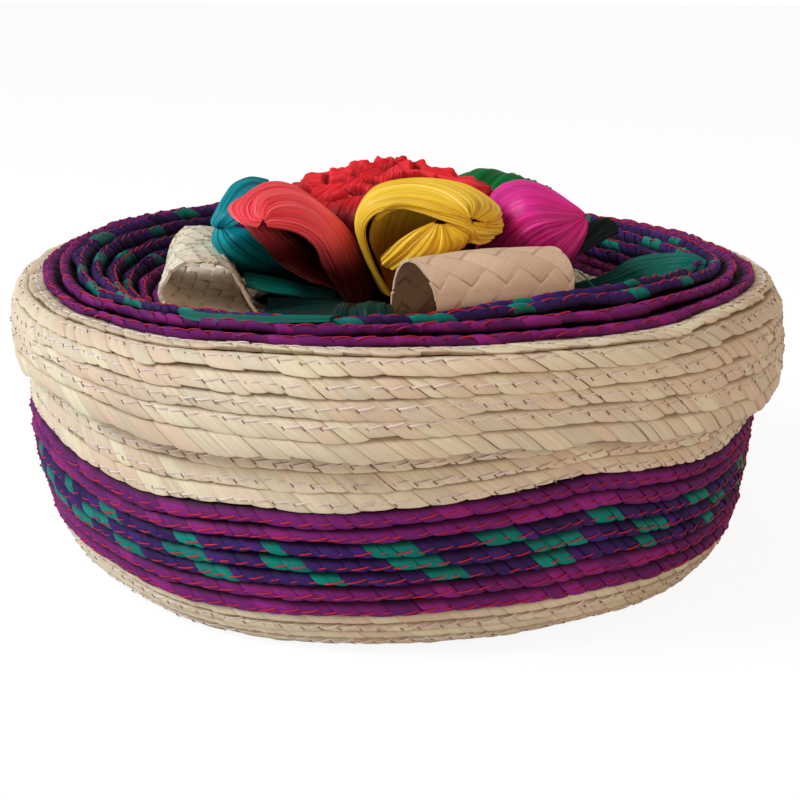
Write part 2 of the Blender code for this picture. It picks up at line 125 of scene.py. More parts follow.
class PalmColours(bpy.types.PropertyGroup):
    """The dyes of the palm and of the thread, as linear colours."""

    natural: colour_property("Natural", "Undyed palm", (0.80, 0.69, 0.50))
    magenta: colour_property("Magenta", "Magenta rows", (0.18, 0.012, 0.15))
    violet: colour_property("Violet", "Dark violet rows", (0.042, 0.012, 0.12))
    teal: colour_property("Teal", "Teal strands in the violet rows", (0.0, 0.21, 0.17))
    coral: colour_property("Coral", "Petal at the front left", (0.98, 0.13, 0.16))
    red: colour_property("Red", "Flower in the middle", (0.92, 0.028, 0.042))
    yellow: colour_property("Yellow", "Petal in front", (0.90, 0.58, 0.035))
    pink: colour_property("Pink", "Petals at the right and the back left", (0.78, 0.022, 0.30))
    blue: colour_property("Blue", "Petal at the left", (0.0, 0.29, 0.34))
    green: colour_property("Green", "Petal at the back right", (0.0, 0.17, 0.035))
    orange: colour_property("Orange", "Petal at the back", (0.80, 0.20, 0.015))
    leaf: colour_property("Leaf", "Pleated leaves", (0.0, 0.15, 0.115))
    cane: colour_property("Cane", "Plaited bands in front and behind", (0.72, 0.505, 0.35))
    cream: colour_property("Cream", "Plaited band at the left", (0.90, 0.80, 0.63))
    white_thread: colour_property("White Thread", "Thread of the undyed rows", (0.92, 0.82, 0.80))
    red_thread: colour_property("Red Thread", "Thread of the dyed rows", (0.58, 0.004, 0.035))


def power_property(name, about, default):
    return bpy.props.FloatProperty(name=name, description=about, default=default, min=0.0, subtype="POWER")


class StageSettings(bpy.types.PropertyGroup):
    """The light that the basket is seen in."""

    key_power: power_property("Key Power", "Strength of the window at the left", 14.6)
    fill_power: power_property("Fill Power", "Strength of the fill at the right", 2.9)
    sky_strength: bpy.props.FloatProperty(
        name="Sky", description="Strength of the even light all round", default=0.42, min=0.0
    )


# Curves


def smooth_through(points, per_span=16):
    """Dense points of a smooth curve through a few, in any number of dimensions."""
    points = np.asarray(points, float)
    ends = np.vstack([points[:1], points, points[-1:]])
    share = np.linspace(0, 1, per_span, endpoint=False)[:, None]
    spans = []
    for before, start, end, after in zip(ends, ends[1:], ends[2:], ends[3:]):
        out = (end - before) / 2
        into = (after - start) / 2
        spans.append(
            start * (2 * share**3 - 3 * share**2 + 1)
            + out * (share**3 - 2 * share**2 + share)
            + end * (3 * share**2 - 2 * share**3)
            + into * (share**3 - share**2)
        )
    return np.vstack(spans + [points[-1:]])


# How many of its end spans a guide runs straight on for, and how far to either side of a place its
# slope is taken, in mm
RUN_ON = 40
SLOPE_REACH = 0.4


class Guide:
    """The (radius, height) line that a spiral of braid follows, measured along its length."""

    def __init__(self, corners):
        self.points = smooth_through(corners)
        steps = np.linalg.norm(np.diff(self.points, axis=0), axis=1)
        self.lengths = np.concatenate([[0.0], np.cumsum(steps)])
        self.length = self.lengths[-1]

    def at(self, along):
        """Radius and height this far along, running straight on past either end."""
        start = self.points[0] + (self.points[0] - self.points[1]) * RUN_ON
        end = self.points[-1] + (self.points[-1] - self.points[-2]) * RUN_ON
        steps = np.linalg.norm(self.points[[0, -1]] - [start, end], axis=1)
        lengths = np.concatenate([[-steps[0]], self.lengths, [self.length + steps[1]]])
        points = np.vstack([[start], self.points, [end]])
        return np.interp(along, lengths, points[:, 0]), np.interp(along, lengths, points[:, 1])

    def out(self, along):
        """The direction straight out of the braid, as its radius and height parts."""
        r0, z0 = self.at(along - SLOPE_REACH)
        r1, z1 = self.at(along + SLOPE_REACH)
        length = np.hypot(r1 - r0, z1 - z0)
        return (z1 - z0) / length, -(r1 - r0) / length

    def along_height(self, height):
        return float(np.interp(height, self.points[:, 1], self.lengths))

    def along_radius(self, radius):
        """For a guide whose radius falls all the way."""
        return float(np.interp(-radius, -self.points[:, 0], self.lengths))


def smooth_step(value, low, high):
    share = np.clip((value - low) / (high - low), 0, 1)
    return share * share * (3 - 2 * share)


def unit(vectors):
    """The same directions, each one long."""
    return vectors / np.maximum(np.linalg.norm(vectors, axis=-1, keepdims=True), 1e-6)


# How far the hand-sewn rows wander from an even spiral, in mm, by bearing in degrees.
# Each level is a turn of the braid, then one value for each bearing
ROW_BEARINGS = (20, 60, 96, 140, 180, 200, 214, 224, 236, 250, 265, 280, 290, 300, 312, 325, 340)
EVEN = (0,) * len(ROW_BEARINGS)
RIM_INSETS = (0, 0, 0.5, 1.5, 2.2, 2.0, 1.5, 1.0, 0.6, 0, 0, 0, 0, 0, 0, 0, 0)
BODY_HEIGHTS = (
    (19, EVEN),
    (23, (0, 0, 0, 0, -1, -1.6, -2.4, -2.6, -4.0, -3.7, -2.4, -1.1, -1.0, -0.6, -1.4, -2.0, -1.5)),
    (30, (2, 1, 1, 2, 3.6, 4.1, 0.8, -2.3, -4.2, -2.7, -1.6, 1.6, 3.8, 5.6, 2.6, 0.6, 2.6)),
    (38, EVEN),
)
BODY_INSETS = (
    (10, EVEN),
    (20, (0, 0, 0, 0, 1.5, 3, 4, 3.4, 1.6, 0, 0, 0, 0, 0, 0, 0, 0)),
    (23, (0, 0, 0, 0, 2, 3, 3.6, 3, 1.2, 0, 0, 0, 0, 0, 0, 0, 0)),
    (27, EVEN),
    (32, EVEN),
    (35, RIM_INSETS),
    (38, RIM_INSETS),
)
LID_INSETS = (
    (0, (-2, -0.6, 0.5, 1.5, 2.2, 2.0, 1.5, 1.0, 0.6, 0, 0, 0, 0, 0, 0, -0.8, -2)),
    (4, (-1.6, -0.3, 0.5, 1.5, 2.2, 2.0, 1.5, 1.0, 0.6, 0, 0, 0, 0, 0, 0, 0, 0)),
    (9, EVEN),
)
LID_HEIGHTS = (
    (0, (0, 0, 0, 1, 4, 6, 6.3, 5.5, 3, 3, 3, 5.5, 5.5, 4.5, 2.3, 0.5, 0)),
    (4.4, (-4.2, -4.2, -3, -1.6, -1, -1.6, -1.7, -1.4, -1.8, -0.5, 0.2, 0.5, 0.3, -0.2, -0.8, 0.1, -1.5)),
    (5, (-2.4, -2.6, -1.8, -1.2, -1.7, -2.6, -2.8, -2.3, -2.5, -1, -0.2, -0.2, -0.4, -0.8, -1.2, 0, -0.8)),
    (7, (-5.6, -5, -3, -1.8, -2.2, -3.4, -4.2, -3.6, -2.7, -1.4, -0.5, 0.3, 0.8, 0.3, 0.4, 0, -1.4)),
    (8.5, (-6.2, -5.4, -3.2, -2, -2.4, -3.8, -4.8, -4.2, -3.2, -2.2, -1.5, 0.7, 2.8, 3.6, 2.9, 1.9, -0.4)),
    (13, (-4.5, -4, -2.4, -1.6, -1.2, -1.4, -1.5, -1.2, -0.6, 0, 0.4, 0.6, 0.6, 0.4, 0, -0.6, -2)),
    (18, EVEN),
)


class Drift:
    """A value that changes smoothly with the bearing and from one level of turns to the next."""

    def __init__(self, levels):
        self.turns = [turn for turn, _ in levels]
        bearings = np.radians(ROW_BEARINGS)
        round_and_on = np.concatenate([bearings - math.tau, bearings, bearings + math.tau])
        self.rings = [smooth_through(np.stack([round_and_on, values * 3], axis=1)) for _, values in levels]

    def at(self, turn, bearing):
        turn, bearing = np.broadcast_arrays(turn, np.mod(bearing, math.tau))
        values = np.stack([np.interp(bearing, ring[:, 0], ring[:, 1]) for ring in self.rings])
        level = np.interp(turn, self.turns, np.arange(len(self.turns)))
        low = np.minimum(level.astype(int), len(self.turns) - 2)
        first = np.take_along_axis(values, low[None], axis=0)[0]
        second = np.take_along_axis(values, low[None] + 1, axis=0)[0]
        return first + (second - first) * (level - low)


# The closest that the lowest rows come to the floor
FLOOR_CLEARANCE = 0.05

# The outside of the basket in mm: the flat floor and the turn of its heel. Then shares of the
# greatest radius and of the rise from heel to rim
FLOOR_MIDDLE = 0.4
BASE_RADIUS = 100.0
BASE_LIFT = 2.2
BASE_EDGE = 3
HEEL_TURN = (8, 5.8)
BODY_SIDE_SHARES = (
    (0.977, 0.15), (0.992, 0.32), (0.999, 0.50), (0.994, 0.66), (0.989, 0.82), (0.985, 0.92), (0.963, 1.0)
)
# The outside of the lid: shares of its radius and of its skirt's depth, then shoulder, ridge and
# dish. Between ridge and dish the shares are of the way in and of the way down
SKIRT_SHARES = (
    (0.988, 0.0), (0.997, 0.16), (1.0, 0.42), (0.998, 0.66), (0.984, 0.86), (0.962, 0.96), (0.921, 1.0)
)
SHOULDER_RADIUS = 115.0
SHOULDER_RISE = 2.9
RIDGE_RADIUS = 103.0
DISH_RADIUS = 74.0
DISH_SHARES = ((0.22, 0.12), (0.45, 0.48), (0.66, 0.80), (1.0, 1.0))
DISH_LINE = 83.6
CENTRE_DROP = 2.4
CENTRE_DROP_SHARE = 0.72
HOLE_RADIUS = 3.2
# How far the rows stand out from the guide at the skirt and the ridge
ROW_STAND = 0.8


def body_corners():
    """The basket's outside as radius and height, from the middle of its floor to the rim."""
    corners = [(radius, BASE_LIFT) for radius in (FLOOR_MIDDLE, BASE_RADIUS / 2, BASE_RADIUS - BASE_EDGE)]
    corners += [(BASE_RADIUS + HEEL_TURN[0], HEEL_TURN[1]), (HEEL_RADIUS, HEEL_HEIGHT)]
    rise = RIM_HEIGHT - HEEL_HEIGHT
    return corners + [(BODY_RADIUS * r, HEEL_HEIGHT + rise * z) for r, z in BODY_SIDE_SHARES]


def lid_corners():
    """The lid's outside as radius and height, from its lower edge to the hole in its middle."""
    depth = SHOULDER_HEIGHT - LID_EDGE
    corners = [((LID_RADIUS - ROW_STAND) * r, LID_EDGE + depth * z) for r, z in SKIRT_SHARES]
    corners.append(((SHOULDER_RADIUS + RIDGE_RADIUS) / 2, SHOULDER_HEIGHT + SHOULDER_RISE))
    ridge = RIDGE_HEIGHT - ROW_STAND
    corners.append((RIDGE_RADIUS, ridge))
    for in_share, drop_share in DISH_SHARES:
        radius = RIDGE_RADIUS + (DISH_RADIUS - RIDGE_RADIUS) * in_share
        corners.append((radius, ridge - (ridge - DISH_LINE) * drop_share))
    corners.append((DISH_RADIUS / 2, DISH_LINE - CENTRE_DROP * CENTRE_DROP_SHARE))
    corners.append((HOLE_RADIUS, DISH_LINE - CENTRE_DROP))
    return corners


BODY = Guide(body_corners())
LID = Guide(lid_corners())


def row_edges(stops):
    """Where each row starts, from (length along the guide, rows up to the next stop)."""
    edges = []
    for (start, rows), (end, _) in zip(stops, stops[1:]):
        edges += [start + (end - start) * row / rows for row in range(rows)]
    return np.array(edges + [stops[-1][0]])


# The spiral starts behind the basket, so in front each row is half a row up: the stops allow for it.
# A stop is a length along the guide in mm, and the number of rows from there to the next stop
HALF_ROW = 2.5
FLOOR_START = 2.0
BODY_STOPS = (
    (FLOOR_START, 20),
    (BASE_RADIUS - FLOOR_START - HALF_ROW, 3),
    (BODY.along_height(HEEL_HEIGHT) - HALF_ROW, 2),
    (BODY.along_height(node_top("body_lower_magenta_braid")) - HALF_ROW, 3),
    (BODY.along_height(node_top("body_violet_braid")) - HALF_ROW, 2),
    (BODY.along_height(node_top("body_upper_magenta_braid")) - HALF_ROW, 8),
    (BODY.length, 0),
)
# Lower edges of the skirt's uneven rows. The violet rows start and end so far past the shoulder
SKIRT_EDGES = (4.7, 11.6, 17.8, 24.3, 31.1)
VIOLET_START, VIOLET_END = 10.8, 34.2
LID_SHOULDER = LID.along_radius(SHOULDER_RADIUS)
LID_STOPS = (
    (LID_SHOULDER - HALF_ROW, 2),
    (LID_SHOULDER + VIOLET_START - HALF_ROW, 4),
    (LID_SHOULDER + VIOLET_END - HALF_ROW, 2),
    (LID.along_radius(DISH_RADIUS) - HALF_ROW, 13),
    (LID.length, 0),
)

# Turns at which the braid changes colour
BODY_TURNS = (0, 23, 25, 28, 30, 38)
LID_TURNS = (-1, 5, 7, 11, 13, 26)
# Rows that a spiral is known for beyond either end, and the points that measure one turn
SPARE_TURNS = 3
STEPS_PER_TURN = 360
# The tightest turn that a length is worked out for, and the closest that a point comes to the axis
TIGHTEST_TURN = 0.8
AXIS_CLEARANCE = 0.15


class Spiral:
    """Rows of one braid sewn round a guide. Row number and turn are the same count."""

    start_bearing = math.radians(96)

    def __init__(self, guide, edges, heights, insets):
        self.guide = guide
        self.heights = Drift(heights)
        self.insets = Drift(insets)
        self.end = len(edges) - 1
        before = edges[0] - (edges[1] - edges[0]) * np.arange(SPARE_TURNS, 0, -1)
        after = edges[-1] + (edges[-1] - edges[-2]) * np.arange(1, SPARE_TURNS + 1)
        self.edges = np.concatenate([before, edges, after])
        self.turns = np.arange(-SPARE_TURNS, len(edges) + SPARE_TURNS)

    def start(self, turn):
        return np.interp(turn, self.turns, self.edges)

    def pitch(self, turn):
        return self.start(turn + 1) - self.start(turn)

    def radius(self, turn):
        return np.maximum(self.guide.at(self.start(turn))[0], TIGHTEST_TURN)

    def arc(self, first, last):
        """Turns from first to last, and the length of braid up to each."""
        turns = np.linspace(first, last, int((last - first) * STEPS_PER_TURN) + 2)
        middle = (turns[1:] + turns[:-1]) / 2
        steps = np.diff(turns) * math.tau * self.radius(middle)
        return turns, np.concatenate([[0.0], np.cumsum(steps)])

    def place(self, turn, across, out):
        """Points on the braid at this turn, this share of a row's pitch from its edge, this far out."""
        along = self.start(turn) + across * self.pitch(turn)
        radius, height = self.guide.at(along)
        out_r, out_z = self.guide.out(along)
        bearing = self.start_bearing - math.tau * turn
        row = turn + across
        radius = np.maximum(radius + out * out_r, AXIS_CLEARANCE) - self.insets.at(row, bearing)
        height = height + out * out_z + self.heights.at(row, bearing)
        height = np.maximum(height, FLOOR_CLEARANCE)
        return np.stack([radius * np.cos(bearing), radius * np.sin(bearing), height], axis=-1)


BODY_BRAID = Spiral(BODY, row_edges(BODY_STOPS), BODY_HEIGHTS, BODY_INSETS)
LID_BRAID = Spiral(LID, np.concatenate([SKIRT_EDGES, row_edges(LID_STOPS)]), LID_HEIGHTS, LID_INSETS)

# The section of one row: from its free edge over the outside and on under the next row. Across as a
# share of the row's pitch, out from the guide in mm, and share of the relief
FLAT_SECTION = (
    (0.0, -0.15, 0.6), (0.03, 0.4, 1.0), (0.12, 0.62, 1.0), (0.34, 0.56, 1.0), (0.58, 0.38, 1.0),
    (0.82, 0.08, 1.0), (0.97, -0.35, 0.6), (1.4, -1.6, 0.3), (1.85, -2.7, 0.2),
)
ROUND_SECTION = (
    (0.0, -0.25, 0.6), (0.05, 0.6, 0.9), (0.17, 1.1, 1.0), (0.36, 1.15, 1.0), (0.58, 0.85, 1.0),
    (0.77, 0.2, 1.0), (0.92, -0.75, 0.6), (1.3, -1.8, 0.3), (1.85, -2.9, 0.2),
)
PROUD_SECTION = (
    (0.0, -0.8, 0.6), (0.05, 0.5, 0.9), (0.16, 1.35, 1.0), (0.34, 1.25, 1.0), (0.52, 0.7, 1.0),
    (0.70, -0.4, 0.8), (0.86, -1.5, 0.6), (1.25, -2.2, 0.3), (1.85, -2.9, 0.2),
)
PAIRED_SECTION = (
    (0.0, -0.3, 0.6), (0.04, 0.45, 0.8), (0.14, 0.75, 0.8), (0.36, 0.5, 0.8), (0.46, -0.55, 0.5),
    (0.52, 0.1, 0.8), (0.62, 0.5, 0.8), (0.84, 0.2, 0.8), (0.97, -0.5, 0.6), (1.4, -1.6, 0.3),
    (1.85, -2.7, 0.2),
)
# Every section goes back along the inside
INNER_SECTION = (
    (1.80, -3.9, -0.6), (1.2, -3.1, -0.8), (0.7, -2.0, -0.8), (0.25, -1.1, -0.4), (0.04, -0.7, -0.2)
)
# Painted shade in the grooves between rows and under their edges, by place across the row
SECTION_PAINTED_SHADE = {
    FLAT_SECTION: ((0, 0.8), (0.03, 0), (0.86, 0), (1.0, 1)),
    ROUND_SECTION: ((0, 0.8), (0.03, 0), (0.60, 0), (0.90, 1)),
    PROUD_SECTION: ((0, 1), (0.05, 0.2), (0.10, 0), (0.46, 0), (0.72, 1)),
    PAIRED_SECTION: ((0, 0.8), (0.04, 0), (0.36, 0.1), (0.46, 1), (0.54, 0.1), (0.86, 0), (1.0, 1)),
}
# Place along a cell as a share of its length, and how far it stands up as a share of the relief
CELL_SHARES = ((0.0, -0.7), (0.07, 0.2), (0.35, 0.6), (0.68, 0.85), (0.95, 1.0))

SHARP_ANGLE = math.radians(42)


def placed(name, data):
    """A new object in the scene, at the origin."""
    made = bpy.data.objects.new(name, data)
    bpy.context.scene.collection.objects.link(made)
    return made


def mesh_piece(name, points, faces, materials, corner_values, uv, face_materials=None):
    """An object from points in mm and quads as an index array, with its normals turned outwards.

    Its values are given for each face or each corner, and its UVs for each point or each corner.
    """
    a, b, c, d = (points[faces[:, i]] for i in range(4))
    turned = (a * (np.cross(b, c) + np.cross(c, d))).sum() < 0
    if turned:
        faces = faces[:, ::-1]
    mesh = bpy.data.meshes.new(name)
    mesh.from_pydata(points * MM, [], faces.tolist())
    mesh.update()
    for material in materials:
        mesh.materials.append(material)
    if face_materials is not None:
        mesh.polygons.foreach_set("material_index", face_materials.astype(np.int32))
    for key, values in corner_values.items():
        if values.ndim == 1:
            values = np.repeat(values[:, None], 4, axis=1)
        elif turned:
            values = values[:, ::-1]
        layer = mesh.attributes.new(key, "FLOAT", "CORNER")
        layer.data.foreach_set("value", values.astype(np.float32).reshape(-1))
    if uv.ndim == 2:
        uv = uv[faces]
    elif turned:
        uv = uv[:, ::-1]
    layer = mesh.uv_layers.new(name="strand")
    layer.data.foreach_set("uv", (uv * MM).astype(np.float32).reshape(-1))
    mesh.validate()
    mesh.shade_smooth()
    mesh.set_sharp_from_angle(angle=SHARP_ANGLE)
    return placed(name, mesh)


# Lean in radians of the cracks between cells, away from straight across the row. It fades out
# within this radius in mm
CELL_SLANT = 0.85
SLANT_RADIUS = 30
# How uneven the cells' lengths are. Then their relief: the least, what the strongest adds, how rare
# a strong one is, and what a slit adds
CELL_UNEVENNESS = 0.42
LEAST_RELIEF = 0.3
RELIEF_SPREAD = 1.1
RELIEF_POWER = 1.6
SLIT_RELIEF = 1.3
# Least and most droop of a cell, and the rise in mm of a proud row's edge
DROOP_RANGE = (0.2, 1.2)
LIP_RISE = 0.6
# The share of a row's pitch that its edge's wander reaches, and the width left where a spiral ends
EDGE_SHARE = 0.6
END_SHARE = 0.04
FIBRE_STRETCH = 1.3


def cell_marks(length, mean, rng):
    """Where each plaited cell starts along a braid of this length."""
    count = max(3, int(round(length / mean)))
    steps = 1 + CELL_UNEVENNESS * rng.uniform(-1, 1, count)
    marks = np.concatenate([[0.0], np.cumsum(steps)])
    return marks * length / marks[-1]


def wander(along, rng, waves=(29.0, 47.0, 83.0, 151.0)):
    """A slow uneven wave along the braid, about one high."""
    total = np.zeros_like(along)
    for wave in waves:
        total += np.sin(math.tau * along / wave + rng.uniform(0, math.tau)) / len(waves) ** 0.5
    return total
def ribbon_caps(index):
    """Quads that close both ends of a ribbon, from the numbers of its points by ring."""
    columns = index.shape[1]
    caps = []
    for ring in (index[0], index[-1]):
        for near in range(1, columns // 2):
            far = columns - near
            caps.append((ring[near - 1], ring[near], ring[far - 1], ring[far % columns]))
    return np.array(caps)


def braid_piece(name, spiral, first, last, materials, look, teal, seed):
    """The rows from one turn to another, as a closed ribbon with every plaited cell in relief."""
    settings = bpy.context.scene.basket_braid
    rng = np.random.default_rng(SEED + seed)
    turns, arc = spiral.arc(first, last)
    marks = cell_marks(arc[-1], settings.cell_length / MM * look["cells"], rng)
    cells = len(marks) - 1
    shares, stands = np.array(CELL_SHARES).T
    arch = 4 * shares * (1 - shares)
    along = np.append((marks[:-1, None] + np.diff(marks)[:, None] * shares).reshape(-1), arc[-1])
    strength = LEAST_RELIEF + RELIEF_SPREAD * rng.uniform(0, 1, cells) ** RELIEF_POWER
    strength += np.where(rng.uniform(0, 1, cells) < look["slits"], SLIT_RELIEF, 0)
    relief = np.append((strength[:, None] * stands).reshape(-1), stands[0])[:, None]
    step = np.append(np.repeat(rng.normal(0, look["steps"], cells), len(shares)), 0.0)[:, None]
    droop = np.tile(arch, cells) * np.repeat(rng.uniform(*DROOP_RANGE, cells), len(shares))
    droop = np.append(droop, 0.0)[:, None]
    belly = np.append(np.tile(arch - 0.5, cells), -0.5)[:, None] * look["bulge"]
    turn = np.interp(along, arc, turns)[:, None]
    shares_across, outs, weights = np.array(look["section"] + INNER_SECTION).T
    pitch = spiral.pitch(turn)
    across = shares_across * np.ones_like(pitch)
    wave = wander(along, rng)[:, None] * settings.waviness / MM * look["wave"]
    near_edge = np.clip(1 - across / EDGE_SHARE, 0, 1)
    across = across + near_edge * (wave + step - look["droop"] * droop) / pitch
    across = across * np.clip((spiral.end - turn) / shares_across.max(), END_SHARE, 1)
    across = np.maximum(across, (0.0 - spiral.start(turn)) / pitch)
    swell = wander(along, rng)[:, None] * look["swell"]
    lip = (np.interp(turn, *zip(*look["lips"])) - 1) * LIP_RISE
    out = outs + (relief * settings.relief / MM * look["relief"] + belly) * weights
    out = out + near_edge * (swell + lip)
    slant = across * pitch * math.tan(CELL_SLANT) / (math.tau * spiral.radius(turn))
    fade = np.clip(spiral.radius(turn) / SLANT_RADIUS, 0, 1)
    points = spiral.place(turn + slant * fade, across, out)
    rows, columns = points.shape[:2]
    index = np.arange(rows * columns).reshape(rows, columns)
    ahead = np.roll(index, -1, axis=1)
    faces = np.stack([index[:-1], index[1:], ahead[1:], ahead[:-1]], axis=-1).reshape(-1, 4)
    face_cell = np.repeat(np.minimum(np.arange(rows - 1) // len(shares), cells - 1), columns)
    tone = rng.uniform(-1, 1, cells)[face_cell]
    # Painted shade: the cracks between cells from their relief, weaker away from the edge, and the grooves
    # between rows from the section
    crack = (relief * (look["crack_fade"] + (1 - look["crack_fade"]) * near_edge)).reshape(-1)[faces]
    shade = np.interp(shares_across, *zip(*SECTION_PAINTED_SHADE[look["section"]]))
    shade = np.tile(shade, rows)[faces]
    face_materials = np.zeros(len(faces), int)
    if teal:
        middle = (marks[:-1] + marks[1:]) / 2
        face_materials = teal_cells(np.interp(middle, arc, turns) - first, teal)[face_cell].astype(int)
    caps = ribbon_caps(index)
    spare = np.zeros((len(caps), 4))
    values = {
        "tone": np.append(tone, spare[:, 0]),
        "crack": np.vstack([crack, spare]),
        "shade": np.vstack([shade, spare]),
    }
    uv = np.stack([along[:, None] + 0 * across, across * pitch * FIBRE_STRETCH], axis=-1).reshape(-1, 2)
    faces = np.vstack([faces, caps])
    face_materials = np.append(face_materials, np.zeros(len(caps), int))
    return mesh_piece(name, points.reshape(-1, 3), faces, materials, values, uv, face_materials)


# Materials


class Tree:
    """Short calls for laying out a node tree."""

    def __init__(self, tree):
        self.tree = tree

    def add(self, kind, inputs=None, **settings):
        node = self.tree.nodes.new(kind)
        for key, value in settings.items():
            setattr(node, key, value)
        for key, value in (inputs or {}).items():
            self.put(node.inputs[key], value)
        return node

    def put(self, socket, value):
        if isinstance(value, bpy.types.NodeSocket):
            self.tree.links.new(value, socket)
        else:
            socket.default_value = value

    def math(self, operation, first, second=0.0, third=None, clamp=False):
        node = self.add("ShaderNodeMath", operation=operation, use_clamp=clamp)
        self.put(node.inputs[0], first)
        self.put(node.inputs[1], second)
        if third is not None:
            self.put(node.inputs[2], third)
        return node.outputs[0]

    def mix(self, factor, first, second):
        node = self.add("ShaderNodeMix", data_type="RGBA", clamp_factor=True)
        self.put(node.inputs[0], factor)
        self.put(node.inputs[6], first)
        self.put(node.inputs[7], second)
        return node.outputs[2]

    def span(self, value, low, high, to_low=0.0, to_high=1.0):
        node = self.add("ShaderNodeMapRange", interpolation_type="SMOOTHSTEP")
        for socket, item in zip(node.inputs, (value, low, high, to_low, to_high)):
            self.put(socket, item)
        return node.outputs[0]

    def noise(self, vector, scale, detail=2.0, roughness=0.5):
        inputs = {"Vector": vector, "Scale": scale, "Detail": detail, "Roughness": roughness}
        return self.add("ShaderNodeTexNoise", inputs).outputs[0]

    def fibres(self, strand, scale, detail, roughness):
        """Noise drawn out along the fibres. Its scale is so many to the metre, across and along them."""
        drawn = self.add("ShaderNodeVectorMath", {0: strand, 1: scale}, operation="MULTIPLY")
        return self.noise(drawn.outputs[0], 1.0, detail, roughness)


def new_group(name, kind, inputs, outputs):
    """An empty node group with its sockets, and its input and output nodes."""
    group = bpy.data.node_groups.new(name, kind)
    for label, socket_kind, default in inputs:
        socket = group.interface.new_socket(label, in_out="INPUT", socket_type=socket_kind)
        if default is not None:
            socket.default_value = default
    for label, socket_kind in outputs:
        group.interface.new_socket(label, in_out="OUTPUT", socket_type=socket_kind)
    tree = Tree(group)
    return group, tree, tree.add("NodeGroupInput").outputs, tree.add("NodeGroupOutput").inputs


COLOUR_SOCKET = "NodeSocketColor"
VALUE_SOCKET = "NodeSocketFloat"
FIBRE_COLOURS = ("Colour", "Second Colour", "Third Colour", "Crack Colour", "Faded Colour")
FIBRE_VALUES = ("Unevenness", "Fibre Contrast", "Fade", "Crack Depth", "Groove Depth", "Roughness")
FINE_FIBRES = (2600, 60, 1)
BROAD_FIBRES = (620, 26, 1)
FADED_STREAKS = (1500, 42, 1)
FIBRE_BUMP = 0.35
FIBRE_HEIGHT = 0.0004


def palm_fibre_group():
    """Split palm: fibres along each strand, cells of uneven dye and faded streaks, with painted shade in its
    cracks and wherever its shade attribute marks shade.
    """
    name = "Palm Fibre"
    if name in bpy.data.node_groups:
        return bpy.data.node_groups[name]
    inputs = [(label, COLOUR_SOCKET, (0.7, 0.55, 0.35, 1)) for label in FIBRE_COLOURS]
    inputs += [(label, VALUE_SOCKET, 0.5) for label in FIBRE_VALUES]
    outputs = (("Colour", COLOUR_SOCKET), ("Roughness", VALUE_SOCKET), ("Height", VALUE_SOCKET))
    group, tree, given, out = new_group(name, "ShaderNodeTree", inputs, outputs)
    strand = tree.add("ShaderNodeUVMap", uv_map="strand").outputs[0]
    attributes = [tree.add("ShaderNodeAttribute", attribute_name=key) for key in ("tone", "crack", "shade")]
    tone, crack, painted_shade = (node.outputs["Fac"] for node in attributes)
    place = tree.add("ShaderNodeTexCoord").outputs["Object"]
    fine = tree.fibres(strand, FINE_FIBRES, 2.0, 0.6)
    broad = tree.fibres(strand, BROAD_FIBRES, 2.0, 0.5)
    region = tree.noise(place, 16.0)
    uneven, contrast = given["Unevenness"], given["Fibre Contrast"]
    patch = tree.span(tree.math("ADD", tree.math("MULTIPLY", tone, 0.22), region), 0.35, 0.68)
    colour = tree.mix(tree.math("MULTIPLY", patch, uneven), given["Colour"], given["Second Colour"])
    odd = tree.math("MULTIPLY", tree.span(tone, 0.3, 0.8), uneven)
    colour = tree.mix(odd, colour, given["Third Colour"])
    light = tree.math("MULTIPLY_ADD", tree.math("SUBTRACT", fine, 0.5), contrast, 1.0)
    light = tree.math("MULTIPLY_ADD", tree.math("SUBTRACT", broad, 0.5), contrast, light)
    light = tree.math("MULTIPLY_ADD", tone, tree.math("MULTIPLY", uneven, 0.18), light)
    scaled = tree.add("ShaderNodeVectorMath", {0: colour, "Scale": light}, operation="SCALE").outputs[0]
    streak = tree.span(tree.fibres(strand, FADED_STREAKS, 3.0, 0.7), 0.62, 0.78)
    faded = tree.mix(tree.math("MULTIPLY", streak, given["Fade"]), scaled, given["Faded Colour"])
    # Painted shade: the low places of the crack attribute and the places that the shade attribute marks
    # darken towards the painted shade colour
    dark = tree.math("MULTIPLY", tree.span(crack, -0.95, 0.15, 1.0, 0.0), given["Crack Depth"])
    dark = tree.math("MAXIMUM", dark, tree.math("MULTIPLY", painted_shade, given["Groove Depth"]))
    tree.put(out["Colour"], tree.mix(dark, faded, given["Crack Colour"]))
    rough = tree.math("MULTIPLY_ADD", tree.math("SUBTRACT", fine, 0.5), 0.3, given["Roughness"], clamp=True)
    tree.put(out["Roughness"], rough)
    tree.put(out["Height"], tree.math("MULTIPLY_ADD", broad, 0.7, fine))
    return group


def new_material(name):
    """A new material, a Tree over its nodes, and its shader."""
    made = bpy.data.materials.new(name)
    made.use_nodes = True
    return made, Tree(made.node_tree), made.node_tree.nodes["Principled BSDF"]
